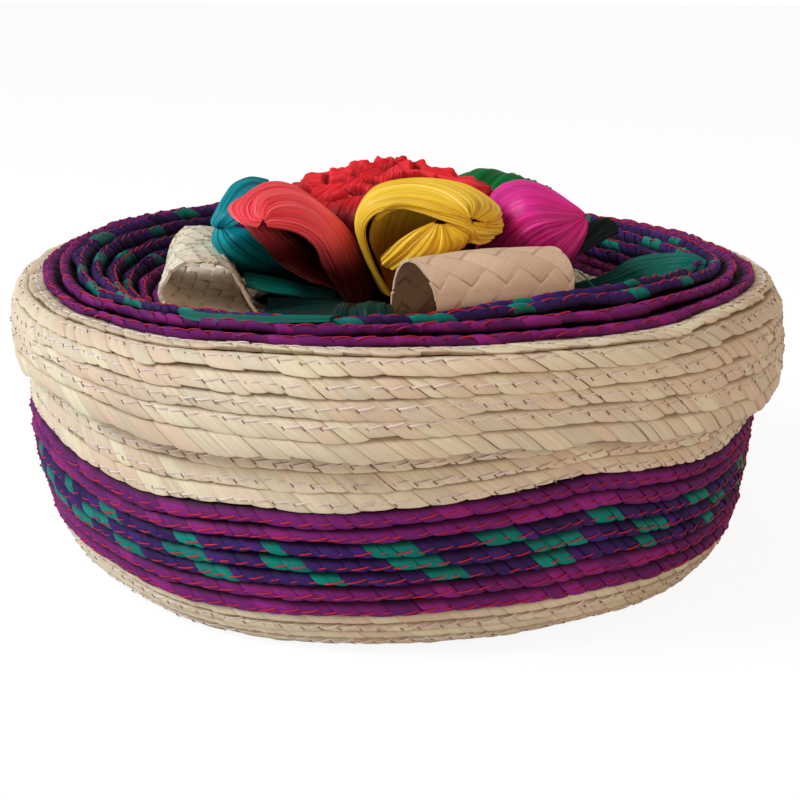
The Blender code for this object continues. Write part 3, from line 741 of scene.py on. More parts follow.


# Second, third, painted shade and faded colours of each dye, then its unevenness, fibre contrast, fade,
# strength of the painted shade in cracks, strength of the painted shade from the shade attribute, and
# roughness
DYES = {
    "natural": (
        ((0.68, 0.5, 0.35), (0.68, 0.62, 0.43), (0.2, 0.115, 0.06), (0.9, 0.85, 0.74)),
        (0.85, 0.42, 0.45, 0.85, 0.85, 0.6),
    ),
    "magenta": (
        ((0.09, 0.008, 0.1), (0.3, 0.016, 0.2), (0.01, 0, 0.006), (0.42, 0.13, 0.36)),
        (0.65, 0.8, 0.35, 0.7, 1, 0.6),
    ),
    "violet": (
        ((0.02, 0.004, 0.055), (0.06, 0.014, 0.17), (0.003, 0, 0.005), (0.2, 0.12, 0.3)),
        (0.7, 0.9, 0.25, 0.7, 1, 0.6),
    ),
    "teal": (
        ((0, 0.12, 0.115), (0, 0.27, 0.21), (0, 0.01, 0.014), (0.1, 0.4, 0.34)),
        (0.5, 0.6, 0.4, 0.8, 1, 0.5),
    ),
    "coral": (
        ((0.88, 0.035, 0.055), (0.97, 0.22, 0.23), (0.04, 0, 0), (0.99, 0.42, 0.4)),
        (0.5, 0.45, 0.55, 0.16, 0.97, 0.42),
    ),
    "red": (
        ((0.66, 0.008, 0.014), (0.93, 0.07, 0.08), (0.07, 0, 0.001), (0.95, 0.17, 0.17)),
        (0.5, 0.4, 0.3, 0.45, 0.97, 0.5),
    ),
    "yellow": (
        ((0.8, 0.44, 0.012), (0.95, 0.72, 0.12), (0.34, 0.075, 0), (0.98, 0.84, 0.34)),
        (0.5, 0.35, 0.4, 0.3, 0.9, 0.42),
    ),
    "pink": (
        ((0.56, 0.006, 0.19), (0.85, 0.09, 0.42), (0.05, 0, 0.012), (0.9, 0.3, 0.58)),
        (0.5, 0.5, 0.45, 0.28, 0.9, 0.42),
    ),
    "blue": (
        ((0, 0.13, 0.18), (0, 0.38, 0.42), (0, 0.004, 0.008), (0.1, 0.52, 0.54)),
        (0.5, 0.55, 0.35, 0.5, 0.97, 0.38),
    ),
    "green": (
        ((0, 0.08, 0.015), (0, 0.2, 0.04), (0, 0.008, 0.002), (0.03, 0.32, 0.09)),
        (0.5, 0.5, 0.35, 0.5, 0.9, 0.42),
    ),
    "orange": (
        ((0.62, 0.12, 0.008), (0.92, 0.34, 0.04), (0.1, 0.008, 0), (0.95, 0.5, 0.16)),
        (0.5, 0.45, 0.35, 0.45, 0.9, 0.42),
    ),
    "cane": (
        ((0.66, 0.43, 0.29), (0.72, 0.55, 0.38), (0.075, 0.035, 0.012), (0.88, 0.75, 0.6)),
        (0.5, 0.16, 0.2, 0.6, 0.95, 0.5),
    ),
    "cream": (
        ((0.8, 0.69, 0.52), (0.72, 0.58, 0.43), (0.1, 0.065, 0.03), (0.95, 0.9, 0.8)),
        (0.5, 0.16, 0.2, 0.6, 0.95, 0.5),
    ),
    "leaf": (
        ((0, 0.06, 0.05), (0, 0.16, 0.12), (0, 0.003, 0.003), (0.04, 0.26, 0.2)),
        (0.5, 0.5, 0.3, 0.5, 0.98, 0.5),
    ),
}
# Dyes that shine a little more than the others
SATIN_DYES = ("natural", "cane", "cream", "yellow", "pink", "orange")
SATIN_GLOSS, DULL_GLOSS = 0.25, 0.15


def palm(dye):
    """Palm in one dye: the shared fibre pattern with the dye's own colours and values."""
    name = dye + "_strips"
    if name in bpy.data.materials:
        return bpy.data.materials[name]
    made, tree, shader = new_material(name)
    first = tuple(getattr(bpy.context.scene.basket_colours, dye))
    others, values = DYES[dye]
    group = tree.add("ShaderNodeGroup", node_tree=palm_fibre_group())
    for label, colour in zip(FIBRE_COLOURS, (first, *others)):
        group.inputs[label].default_value = (*colour, 1)
    for label, value in zip(FIBRE_VALUES, values):
        group.inputs[label].default_value = value
    relief = {"Height": group.outputs["Height"], "Strength": FIBRE_BUMP, "Distance": FIBRE_HEIGHT}
    tree.put(shader.inputs["Base Color"], group.outputs["Colour"])
    tree.put(shader.inputs["Roughness"], group.outputs["Roughness"])
    tree.put(shader.inputs["Normal"], tree.add("ShaderNodeBump", relief).outputs[0])
    shader.inputs["Specular IOR Level"].default_value = SATIN_GLOSS if dye in SATIN_DYES else DULL_GLOSS
    return made


THREAD_BUMP = 0.5
THREAD_HEIGHT = 0.0002
THREAD_ROUGHNESS = 0.7


def thread_material(name, colour, shade):
    """Twisted sewing thread, from one colour on its plies to another painted as shade between them and as
    wear in patches.
    """
    made, tree, shader = new_material(name)
    place = tree.add("ShaderNodeTexCoord").outputs["Object"]
    ply = tree.noise(place, 1800.0, 1.0)
    worn = tree.span(tree.noise(place, 60.0), 0.38, 0.66)
    mixed = tree.math("MULTIPLY_ADD", ply, 0.5, tree.math("MULTIPLY", worn, 0.5))
    relief = {"Height": ply, "Strength": THREAD_BUMP, "Distance": THREAD_HEIGHT}
    tree.put(shader.inputs["Base Color"], tree.mix(mixed, (*colour, 1), (*shade, 1)))
    tree.put(shader.inputs["Normal"], tree.add("ShaderNodeBump", relief).outputs[0])
    shader.inputs["Roughness"].default_value = THREAD_ROUGHNESS
    return made


# Bearings of the teal strands, in degrees. The violet rows of the side, lowest first: middle and
# width of each patch that can be seen, then of those round the back
SIDE_TEAL = (
    (
        (207.5, 4.8), (215.8, 5.1), (229, 6.1), (244.6, 6), (261.6, 6.2), (278.5, 5.4), (293.9, 4.6),
        (310.1, 3.8), (327, 3.2), (345, 5), (3, 5.5), (20, 5), (38, 6), (55, 5),
        (73, 5.6), (91, 5), (108, 6), (126, 5.2), (143, 5.6), (160, 5), (178, 5.8),
        (193, 5),
    ),
    (
        (204.5, 4.4), (221.8, 4.8), (239.1, 6.9), (256.1, 6.4), (274.9, 7.2), (293.1, 7), (310.9, 6.4),
        (328.3, 6.1), (346, 6), (4, 6.6), (21.5, 6), (39.5, 7), (57, 6.2), (74.5, 6.6),
        (92, 6), (109.5, 7), (127, 6.2), (144.5, 6.6), (162, 6), (179.5, 6.4),
    ),
    (
        (214.7, 3.9), (225, 4.3), (239.5, 4.8), (253.2, 3.8), (269.7, 5.3), (285.1, 4.6), (301.5, 4.5),
        (320.2, 5.1), (338, 4.9), (355, 5), (12, 4.6), (29, 5.2), (46, 4.6), (64, 5.2),
        (81, 4.6), (98, 5), (116, 4.6), (133, 5.2), (151, 4.6), (168, 5), (184, 4.6),
        (199, 4.2),
    ),
)
# The violet rows of the lid, outermost first: middles of the patches
LID_TEAL_MIDDLES = (
    (
        195.5, 206.5, 221, 235, 262, 276, 289.7, 311.7, 326, 351.7, 20, 48, 75, 110,
        140, 168,
    ),
    (9.7, 23.4, 60, 88, 120, 152, 182, 214, 250, 291, 315, 340),
    (147.2, 171.8, 200, 230, 277, 300, 330, 0, 34, 70, 104),
    (161.3, 190, 225, 262, 295, 325, 10, 50, 92, 130),
)
LID_TEAL_WIDTH = 5.2
LID_TEAL = [[(middle, LID_TEAL_WIDTH) for middle in middles] for middles in LID_TEAL_MIDDLES]
# How far round its slant shifts the middle of a cell
TEAL_SHIFT = 1.3


def degrees_past(bearing, toward):
    """How far a bearing is past another one, in degrees from -180 to 180."""
    return (bearing - toward + 180) % 360 - 180


def teal_cells(turn, patches):
    """Whether the cell at each turn is dyed teal, counted from the first violet row."""
    bearing = np.degrees(Spiral.start_bearing) - 360 * turn - TEAL_SHIFT
    teal = np.zeros(len(turn), bool)
    for row, places in enumerate(patches):
        for middle, width in places:
            teal |= (np.floor(turn) == row) & (np.abs(degrees_past(bearing, middle)) < width / 2)
    return teal


def dress(made, node, body):
    """Puts a piece in the place of its CAD node."""
    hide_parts(node)
    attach(made, body)


# How a stretch of braid is laid
SIDE_LOOK = {
    "section": FLAT_SECTION,
    # Shares of the settings for the length of its cells, the waviness of its edge and its relief
    "cells": 1.0,
    "wave": 0.8,
    "relief": 0.75,
    # Share of its cells that have a slit beside them, and share of the painted crack shade kept away from the
    # edge
    "slits": 0.05,
    "crack_fade": 0.3,
    # In mm, how far its cells step up and down and droop over the edge, how far the edge swells in
    # and out, and how far each cell bellies out
    "steps": 0.16,
    "droop": 0.45,
    "swell": 0.10,
    "bulge": 0.12,
    # How proud its edge stands, by turn
    "lips": ((0, 1.0), (38, 1.0)),
}
BASE_LOOK = SIDE_LOOK | {"section": PAIRED_SECTION, "cells": 0.9, "lips": ((0, 0.4), (19, 0.5), (21, 1.0))}
SKIRT_LOOK = SIDE_LOOK | {
    "slits": 0.12,
    "steps": 0.26,
    "wave": 1.1,
    "swell": 0.15,
    "lips": ((-1, 0.7), (0.4, 0.5), (2.4, 0.5), (2.7, 1.7), (5, 1.9)),
}
DYED_LOOK = SIDE_LOOK | {
    "section": ROUND_SECTION,
    "crack_fade": 0.5,
    "wave": 0.55,
    "swell": 0.12,
    "droop": 0.3,
    "relief": 0.8,
    "bulge": 0.28,
}
VIOLET_LOOK = DYED_LOOK | {"cells": 0.72}
LID_DYED_LOOK = DYED_LOOK | {
    "section": PROUD_SECTION,
    "wave": 1.2,
    "swell": 0.45,
    "bulge": 0.6,
    "lips": ((0, 1.2), (38, 1.2)),
}
LID_VIOLET_LOOK = LID_DYED_LOOK | {"cells": 0.72}


def sew(pieces, spiral, turns, body, first_seed):
    """Makes each stretch of a braid and puts it in the place of its CAD node."""
    for index, (name, dye, look, teal) in enumerate(pieces):
        materials = [palm(dye)] + ([palm("teal")] if teal else [])
        stretch = turns[index], turns[index + 1]
        made = braid_piece(name + "_rows", spiral, *stretch, materials, look, teal, first_seed + index)
        dress(made, name + "_braid", body)


class BASKET_OT_body_braid(bpy.types.Operator):
    """Sew the rows of the basket, from the middle of its floor to the rim"""

    bl_idname = "object.basket_body_braid"
    bl_label = "Basket Braid"

    def execute(self, context):
        pieces = (
            ("body_base", "natural", BASE_LOOK, None),
            ("body_lower_magenta", "magenta", DYED_LOOK, None),
            ("body_violet", "violet", VIOLET_LOOK, SIDE_TEAL),
            ("body_upper_magenta", "magenta", DYED_LOOK, None),
            ("body_upper_natural", "natural", SIDE_LOOK, None),
        )
        sew(pieces, BODY_BRAID, BODY_TURNS, "basket", 0)
        return {"FINISHED"}


class BASKET_OT_lid_braid(bpy.types.Operator):
    """Sew the rows of the lid, from its lower edge to the middle of its dish"""

    bl_idname = "object.basket_lid_braid"
    bl_label = "Lid Braid"

    def execute(self, context):
        pieces = (
            ("lid_skirt", "natural", SKIRT_LOOK, None),
            ("lid_outer_magenta", "magenta", LID_DYED_LOOK, None),
            ("lid_violet", "violet", LID_VIOLET_LOOK, LID_TEAL),
            ("lid_inner_magenta", "magenta", LID_DYED_LOOK, None),
            ("lid_centre", "natural", SIDE_LOOK, None),
        )
        sew(pieces, LID_BRAID, LID_TURNS, "lid", 20)
        return {"FINISHED"}


# Stitches

# Stretches of sewing: first turn, last turn, and place across the row as a share of its pitch
BODY_NATURAL_SEAMS = ((1.5, 23, 0.33), (30, 37.6, 0.33))
BODY_DYED_SEAMS = ((23, 30, 0.33),)
LID_NATURAL_SEAMS = (
    (0.0, 1, 0.70), (1, 2, 0.56), (2, 3, 0.52), (3, 4, 0.68), (4, 5, 0.50), (13, 25.5, 0.36)
)
LID_DYED_SEAMS = ((5, 13, 0.27),)
# The most that a stitch rises outward from one end to the other, in mm
STITCH_CLIMB = 0.5
# The lowest that the middle of a stitch lies, so that none reaches the floor
STITCH_FLOOR = 0.8
# Where the surface under a stitch is looked for, out from the guide in mm
STITCH_SEARCH = (5.0, -1.5)
# How far a stitch climbs the row, and the least and most share of that
STITCH_RISE = 0.95
STITCH_RISES = (0.7, 1.25)
# How uneven stitches are: along the seam as a share of their pitch, then across the row, stitch by
# stitch and as a slow wander
STITCH_SLIP = 0.12
STITCH_STRAY = 0.03
SEAM_WANDER = 0.05
# The closest to the axis that the rows are sewn
SEWN_RADIUS = 6

# The rows that each kind of stitch may lie on
BODY_NATURAL_ROWS = ("body_base_rows", "body_upper_natural_rows")
BODY_DYED_ROWS = ("body_lower_magenta_rows", "body_violet_rows", "body_upper_magenta_rows")
LID_NATURAL_ROWS = ("lid_skirt_rows", "lid_centre_rows")
LID_DYED_ROWS = ("lid_outer_magenta_rows", "lid_violet_rows", "lid_inner_magenta_rows")


def surface_tree(piece):
    """A search tree of a piece's faces."""
    mesh = bpy.data.objects[piece].data
    places = [vertex.co for vertex in mesh.vertices]
    return BVHTree.FromPolygons(places, [tuple(face.vertices) for face in mesh.polygons])


def settled(ground, high, low):
    """Points in mm on the outermost surface met from high to low."""
    found = low.copy()
    for index, (start, end) in enumerate(zip(high * MM, low * MM)):
        ray = Vector(end - start)
        nearest = ray.length
        for tree in ground:
            place, _, _, distance = tree.ray_cast(Vector(start), ray.normalized(), nearest)
            if place is not None:
                nearest = distance
                found[index] = np.array(place) / MM
    return found


def thread_points(name, places, along, out):
    """A mesh of points in metres, each with the directions its thread runs and faces."""
    mesh = bpy.data.meshes.new(name)
    mesh.from_pydata(places, [], [])
    for key, values in (("thread_along", along), ("thread_out", out)):
        layer = mesh.attributes.new(key, "FLOAT_VECTOR", "POINT")
        layer.data.foreach_set("vector", values.astype(np.float32).reshape(-1))
    return placed(name, mesh)


def stitch_points(name, spiral, seams, pieces, seed):
    """A point on the rows for every stitch of these seams."""
    settings = bpy.context.scene.basket_braid
    rng = np.random.default_rng(SEED + seed)
    half = settings.stitch_length / MM / 2
    ground = [surface_tree(piece) for piece in pieces]
    places, alongs, outs = [], [], []
    for first, last, across in seams:
        turns, arc = spiral.arc(first, last)
        count = int(arc[-1] / (settings.stitch_pitch / MM))
        marks = np.arange(count) + 0.5 + rng.uniform(-STITCH_SLIP, STITCH_SLIP, count)
        marks = marks * arc[-1] / count
        turn = np.interp(marks, arc, turns)
        radius = spiral.radius(turn)
        keep = radius > SEWN_RADIUS
        turn, radius = turn[keep], radius[keep]
        pitch = spiral.pitch(turn)
        drift = across + SEAM_WANDER * wander(marks[keep], rng)
        drift = drift + rng.uniform(-STITCH_STRAY, STITCH_STRAY, len(turn))
        reach = half / (math.tau * radius)
        rise = rng.uniform(*STITCH_RISES, len(turn)) * STITCH_RISE / 2 / pitch
        ends = []
        for step in (0, -1, 1):
            spot = turn + step * reach, drift - step * rise
            high, low = (spiral.place(*spot, out) for out in STITCH_SEARCH)
            ends.append(settled(ground, high, low))
        here, right, left = ends
        here[:, 2] = np.maximum(here[:, 2], STITCH_FLOOR)
        out = spiral.place(turn, drift, 1) - spiral.place(turn, drift, 0)
        along = right - left
        climb = (along * out).sum(1)
        climb -= np.clip(climb, -STITCH_CLIMB, STITCH_CLIMB)
        places.append(here)
        alongs.append(along - out * climb[:, None])
        outs.append(out)
    return thread_points(name, np.vstack(places) * MM, np.vstack(alongs), np.vstack(outs))


# Length and width in metres of the dark dash painted as the shadow in a needle hole
HOLE_LENGTH = 0.0014
HOLE_WIDTH = 0.00042
# Place of a hole from the middle of its stitch, along and up the row, and the way it runs, in mm
HOLE_PLACE = (-2.5, -0.25)
HOLE_RUN = (0.7, -1.0)


def needle_holes(stitches, name):
    """A point where the thread of each stitch comes out of the palm, for a dark dash painted as the shadow in
    its needle hole.
    """
    mesh = stitches.data
    place, along, out = np.empty((3, len(mesh.vertices) * 3))
    mesh.vertices.foreach_get("co", place)
    mesh.attributes["thread_along"].data.foreach_get("vector", along)
    mesh.attributes["thread_out"].data.foreach_get("vector", out)
    place, along, out = (values.reshape(-1, 3) for values in (place, along, out))
    along, out = unit(along), unit(out)
    up = np.cross(out, along)
    spots = place + (along * HOLE_PLACE[0] + up * HOLE_PLACE[1]) * MM
    return thread_points(name, spots, along * HOLE_RUN[0] + up * HOLE_RUN[1], out)


def stitch_group():
    """A Geometry Nodes tree that sets one arched stitch on every point."""
    name = "Sewn Stitches"
    if name in bpy.data.node_groups:
        return bpy.data.node_groups[name]
    group, tree, given, out = new_group(
        name,
        "GeometryNodeTree",
        (
            ("Geometry", "NodeSocketGeometry", None),
            ("Length", VALUE_SOCKET, 0.005),
            ("Width", VALUE_SOCKET, 0.0005),
            ("Rise", VALUE_SOCKET, 0.00026),
            ("Sink", VALUE_SOCKET, 0.00025),
            ("Smallest", VALUE_SOCKET, 0.8),
            ("Largest", VALUE_SOCKET, 1.12),
            ("Spans", "NodeSocketInt", 4),
            ("Material", "NodeSocketMaterial", None),
        ),
        (("Geometry", "NodeSocketGeometry"),),
    )
    half = tree.math("MULTIPLY", given["Length"], 0.5)
    back = tree.math("MULTIPLY", given["Length"], -0.5)
    sink = tree.math("MULTIPLY", given["Sink"], -1.0)
    lift = tree.math("MULTIPLY_ADD", given["Rise"], 2.0, given["Sink"])
    start = tree.add("ShaderNodeCombineXYZ", {"X": back, "Z": sink})
    middle = tree.add("ShaderNodeCombineXYZ", {"Z": lift})
    end = tree.add("ShaderNodeCombineXYZ", {"X": half, "Z": sink})
    bend = {"Start": start.outputs[0], "Middle": middle.outputs[0], "End": end.outputs[0]}
    arc = tree.add("GeometryNodeCurveQuadraticBezier", {"Resolution": given["Spans"]} | bend)
    radius = tree.math("MULTIPLY", given["Width"], 0.5)
    ring = tree.add("GeometryNodeCurvePrimitiveCircle", {"Resolution": 4, "Radius": radius})
    curves = {"Curve": arc.outputs[0], "Profile Curve": ring.outputs[0], "Fill Caps": True}
    thread = tree.add("GeometryNodeCurveToMesh", curves)
    along = tree.add("GeometryNodeInputNamedAttribute", {"Name": "thread_along"}, data_type="FLOAT_VECTOR")
    outward = tree.add("GeometryNodeInputNamedAttribute", {"Name": "thread_out"}, data_type="FLOAT_VECTOR")
    turned = tree.add("FunctionNodeAxesToRotation", primary_axis="X", secondary_axis="Z")
    tree.put(turned.inputs[0], along.outputs[0])
    tree.put(turned.inputs[1], outward.outputs[0])
    size = tree.add("FunctionNodeRandomValue", {2: given["Smallest"], 3: given["Largest"], "Seed": 3})
    points = tree.add("GeometryNodeMeshToPoints", {"Mesh": given["Geometry"]})
    spread = tree.add(
        "GeometryNodeInstanceOnPoints",
        {
            "Points": points.outputs[0],
            "Instance": thread.outputs[0],
            "Rotation": turned.outputs[0],
            "Scale": size.outputs[1],
        },
    )
    real = tree.add("GeometryNodeRealizeInstances", {"Geometry": spread.outputs[0]})
    smooth = tree.add("GeometryNodeSetShadeSmooth", {"Geometry": real.outputs[0]})
    dyed = {"Geometry": smooth.outputs[0], "Material": given["Material"]}
    tree.put(out["Geometry"], tree.add("GeometryNodeSetMaterial", dyed).outputs[0])
    return group


def grown(points, group, values):
    """Runs a Geometry Nodes group on an object and gives back its result as a plain mesh object."""
    modifier = points.modifiers.new("grow", "NODES")
    modifier.node_group = group
    sockets = {item.name: item.identifier for item in group.interface.items_tree if item.in_out == "INPUT"}
    for label, value in values.items():
        modifier[sockets[label]] = value
    graph = bpy.context.evaluated_depsgraph_get()
    mesh = bpy.data.meshes.new_from_object(points.evaluated_get(graph), depsgraph=graph)
    name = points.name
    old = points.data
    points.modifiers.remove(modifier)
    bpy.data.objects.remove(points)
    bpy.data.meshes.remove(old)
    mesh.name = name
    return placed(name, mesh)


class BASKET_OT_stitches(bpy.types.Operator):
    """Sew the stitches that hold each row to the one below"""

    bl_idname = "object.basket_stitches"
    bl_label = "Stitches"

    def execute(self, context):
        settings = context.scene.basket_braid
        colours = context.scene.basket_colours
        # The second colour of each thread is painted shade between its plies and wear in patches
        white = thread_material("white_thread", tuple(colours.white_thread), (0.66, 0.50, 0.46))
        red = thread_material("red_thread", tuple(colours.red_thread), (0.30, 0.004, 0.03))
        # Painted shadow in the needle holes: a dark thread colour laid as a dash where each stitch comes out
        dark = thread_material("needle_holes", (0.17, 0.085, 0.035), (0.36, 0.23, 0.12))
        body_white = ("body_white_stitches", BODY_BRAID, BODY_NATURAL_SEAMS, BODY_NATURAL_ROWS)
        body_red = ("body_red_stitches", BODY_BRAID, BODY_DYED_SEAMS, BODY_DYED_ROWS)
        lid_white = ("lid_white_stitches", LID_BRAID, LID_NATURAL_SEAMS, LID_NATURAL_ROWS)
        lid_red = ("lid_red_stitches", LID_BRAID, LID_DYED_SEAMS, LID_DYED_ROWS)
        seams = (
            (body_white, white, "basket", "natural_palm"),
            (body_red, red, "basket", "magenta_palm"),
            (lid_white, white, "lid", "natural_palm"),
            (lid_red, red, "lid", "magenta_palm"),
        )
        stitch = {"Length": settings.stitch_length, "Width": settings.thread_width}
        hole = {"Length": HOLE_LENGTH, "Width": HOLE_WIDTH, "Rise": 0.0, "Sink": 0.0, "Spans": 3}
        for seed, (seam, material, body, slot) in enumerate(seams):
            points = stitch_points(*seam, 40 + seed)
            kinds = [(points, stitch | {"Material": material})]
            if material == white:
                holes = needle_holes(points, seam[0].replace("white_stitches", "needle_holes"))
                kinds.insert(0, (holes, hole | {"Material": dark}))
            for spots, values in kinds:
                made = grown(spots, stitch_group(), values)
                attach(made, body)
        return {"FINISHED"}


# The ornament


def seen_at(points):
    """Places in mm from rows of photograph x, photograph y and depth along +Y."""
    points = np.asarray(points, float)
    right, up, ahead = (np.array(axis) for axis in camera_axes())
    offset = (points[:, :2] - PHOTO_SIZE / 2) / PHOTO_FOCAL
    rays = ahead + offset[:, :1] * right - offset[:, 1:] * up
    start = np.array(CAMERA_PLACE)
    return start + rays * (points[:, 2:] - start[1]) / rays[:, 1:2]


def spaced(points, count):
    """So many points at even steps along a dense line."""
    steps = np.linalg.norm(np.diff(points, axis=0), axis=1)
    lengths = np.concatenate([[0.0], np.cumsum(steps)])
    at = np.linspace(0, lengths[-1], count)
    return np.stack([np.interp(at, lengths, column) for column in points.T], axis=1)


def strand_grid(guides, along, across):
    """A grid of points, along by across, that runs smoothly through a few guide lines."""
    lines = np.stack([spaced(smooth_through(guide), along) for guide in guides])
    dense = smooth_through(lines.reshape(len(guides), -1)).reshape(-1, along, 3)
    at = np.linspace(0, len(dense) - 1, across)
    low = np.minimum(at.astype(int), len(dense) - 2)
    share = (at - low)[:, None, None]
    return (dense[low] * (1 - share) + dense[low + 1] * share).transpose(1, 0, 2)


def grid_normals(grid):
    return unit(np.cross(np.gradient(grid, axis=0), np.gradient(grid, axis=1)))


def pleated(grid, pleats, depth, rng):
    """Raises fine folds along a grid. Gives back the new grid and how high each point is folded."""
    rows, columns = grid.shape[:2]
    across = np.linspace(0, 1, columns)[None]
    along = np.linspace(0, 1, rows)[:, None]
    folds = np.zeros((rows, columns))
    for gain, factor in ((0.42, 1.0), (0.22, 2.3), (0.5, 0.37), (0.3, 0.21)):
        start, swing, turn = rng.uniform(0, math.tau, 3)
        sway = 0.9 * np.sin(along * 2.1 + swing) + 0.5 * np.sin(along * 5.3 + turn)
        folds += gain * np.sin(across * pleats * factor * math.tau + start + sway)
    folds = np.sign(folds) * np.abs(folds) ** 0.8
    width = np.linalg.norm(np.gradient(grid, axis=1), axis=2) * columns / pleats
    height = np.minimum(depth, width * 0.45)
    return grid + grid_normals(grid) * (folds * height)[:, :, None], folds


def gloom(grid, high, low, inside):
    """Painted shade on the two sides of a sheet: darker from high up to low down in the ornament, and darker
    still on its inner side.
    """
    deep = 1 - smooth_step(grid[:, :, 2], low, high)
    return deep.reshape(-1), (inside + (1 - inside) * deep).reshape(-1)


def sheet_size(grid):
    """Mean length and width of a sheet, laid flat."""
    length = np.linalg.norm(np.diff(grid, axis=0), axis=2).sum(0).mean()
    return length, np.linalg.norm(np.diff(grid, axis=1), axis=2).sum(1).mean()


def sheet_parts(grid, folds, thickness, rng, shades=None):
    """The points, faces, corner values and UVs of a closed two-sided sheet over a grid."""
    rows, columns = grid.shape[:2]
    back = grid - grid_normals(grid) * thickness
    points = np.concatenate([grid.reshape(-1, 3), back.reshape(-1, 3)])
    index = np.arange(rows * columns).reshape(rows, columns)
    under = index + rows * columns

    def quads(block, turned):
        corners = [block[:-1, :-1], block[1:, :-1], block[1:, 1:], block[:-1, 1:]]
        faces = np.stack(corners, axis=-1).reshape(-1, 4)
        return faces[:, ::-1] if turned else faces

    def rim(first, second):
        return np.stack([first[:-1], first[1:], second[1:], second[:-1]], axis=-1)

    faces = [quads(index, True), quads(under, False)]
    faces += [rim(index[0], under[0])[:, ::-1], rim(index[-1], under[-1])]
    faces += [rim(index[:, 0], under[:, 0]), rim(index[:, -1], under[:, -1])[:, ::-1]]
    faces = np.vstack(faces)
    length, width = sheet_size(grid)
    across, along = np.meshgrid(np.linspace(0, width, columns), np.linspace(0, length, rows))
    uv = np.stack([across, along], axis=-1).reshape(-1, 2)
    knots = max(4, columns // 6)
    tone = np.interp(np.linspace(0, 1, columns), np.linspace(0, 1, knots), rng.uniform(-1, 1, knots))
    tone = np.tile(tone, rows)
    shades = shades or (np.zeros(rows * columns), np.zeros(rows * columns))
    values = {
        "tone": np.tile(tone, 2)[faces],
        "crack": np.concatenate([folds.reshape(-1), -folds.reshape(-1)])[faces],
        "shade": np.concatenate(shades)[faces],
    }
    return points, faces, values, np.tile(uv, (2, 1))[faces]


def joined(parts):
    """One set of points, faces, corner values and UVs from several."""
    points, faces, uvs = [], [], []
    values = {"tone": [], "crack": [], "shade": []}
    count = 0
    for part_points, part_faces, part_values, part_uv in parts:
        points.append(part_points)
        faces.append(part_faces + count)
        uvs.append(part_uv)
        for key in values:
            values[key].append(part_values[key])
        count += len(part_points)
    values = {key: np.vstack(items) for key, items in values.items()}
    return np.vstack(points), np.vstack(faces), values, np.vstack(uvs)


def sheet_piece(name, parts, dye):
    """One piece from the sheets of a petal, band, leaf or thread."""
    points, faces, values, uv = joined(parts)
    return mesh_piece(name, points, faces, [palm(dye)], values, uv)


# Thickness of a palm strip, in mm
SHEET = 0.35

# Strands of the petals as they are seen: photograph x, photograph y, depth in mm.
# The petal in front: over its crown from foot to pinch, then its collar, the fan that spreads from
# its twist, the fold at its right end and its inner side
YELLOW_CROWN = (
    ((392, 297, -50), (377, 272, -53), (366, 246, -56), (364, 228, -58), (372, 216, -59), (386, 210, -60),
     (410, 209, -61), (434, 213, -61), (456, 218, -61), (472, 223, -60)),
    ((390, 296, -48), (373, 268, -51), (361, 240, -53), (360, 222, -54), (369, 207, -55), (386, 200, -56),
     (410, 198, -57), (436, 203, -59), (457, 212, -60), (471, 221, -60)),
    ((388, 295, -45), (370, 264, -47), (358, 234, -48), (358, 216, -48), (368, 199, -48), (387, 190, -48),
     (414, 187, -49), (442, 193, -53), (461, 206, -58), (470, 219, -60)),
    ((386, 294, -42), (368, 262, -42), (357, 230, -42), (358, 211, -41), (370, 193, -40), (391, 184, -40),
     (420, 181, -40), (450, 187, -45), (470, 201, -53), (471, 217, -59)),
    ((384, 293, -38), (366, 260, -37), (357, 227, -36), (359, 208, -35), (373, 190, -34), (396, 182, -33),
     (428, 180, -32), (462, 186, -36), (486, 203, -47), (475, 218, -58)),
    ((382, 292, -35), (365, 258, -33), (357, 224, -31), (361, 206, -30), (376, 188, -28), (400, 181, -27),
     (432, 180, -26), (470, 188, -29), (501, 212, -42), (484, 222, -55)),
    ((382, 291, -33), (366, 258, -30), (360, 224, -28), (364, 208, -26), (380, 191, -24), (404, 184, -22),
     (436, 184, -22), (474, 194, -26), (502, 227, -42), (487, 226, -54)),
)
YELLOW_COLLAR = (
    ((374, 220, -58), (384, 208, -60), (398, 203, -61.5), (418, 205, -62.5), (440, 212, -63),
     (462, 218, -63), (475, 226, -62)),
    ((376, 221, -57), (387, 211, -59), (401, 207, -60.5), (420, 210, -62), (441, 217, -63), (461, 223, -63),
     (474, 230, -62)),
    ((379, 221, -56), (390, 213, -58), (404, 210, -59.5), (422, 214, -61), (442, 221, -62), (460, 228, -62),
     (472, 234, -61)),
)
YELLOW_FAN = (
    ((433, 222, -59.5), (414, 230, -60.5), (396, 242, -60), (380, 258, -57.5)),
    ((435, 223, -60.5), (419, 235, -61.5), (402, 250, -61), (383, 266, -58.5)),
    ((437, 223.5, -61), (428, 238, -62.5), (414, 254, -61.5), (392, 269, -58.5)),
    ((440, 224, -61.5), (438, 240, -63), (430, 254, -62), (409, 266, -58.5)),
    ((443, 224, -61.5), (448, 240, -63), (446, 251, -61.5), (430, 261, -58)),
    ((446, 223.5, -61.5), (457, 236, -62.5), (460, 244, -60.5), (450, 256, -57)),
    ((449, 223, -61.5), (465, 231, -62), (471, 237, -60), (467, 246, -56)),
    ((453, 222, -61), (467, 226, -61), (475, 229, -59.5), (478, 236, -56)),
)
YELLOW_FOLD = (
    ((472, 222, -59), (487, 223, -53), (503, 227, -45)),
    ((473, 230, -59), (488, 233, -53), (500, 234, -47)),
    ((468, 241, -57), (480, 244, -53), (490, 240, -49)),
)
YELLOW_INSIDE = (
    ((392, 296, -46), (379, 264, -50), (370, 238, -53), (376, 214, -56)),
    ((396, 292, -40), (388, 262, -42), (384, 238, -44), (392, 210, -52)),
    ((404, 288, -36), (404, 264, -36), (406, 240, -38), (416, 210, -50)),
    ((414, 284, -35), (424, 266, -35), (430, 246, -37), (438, 216, -50)),
)
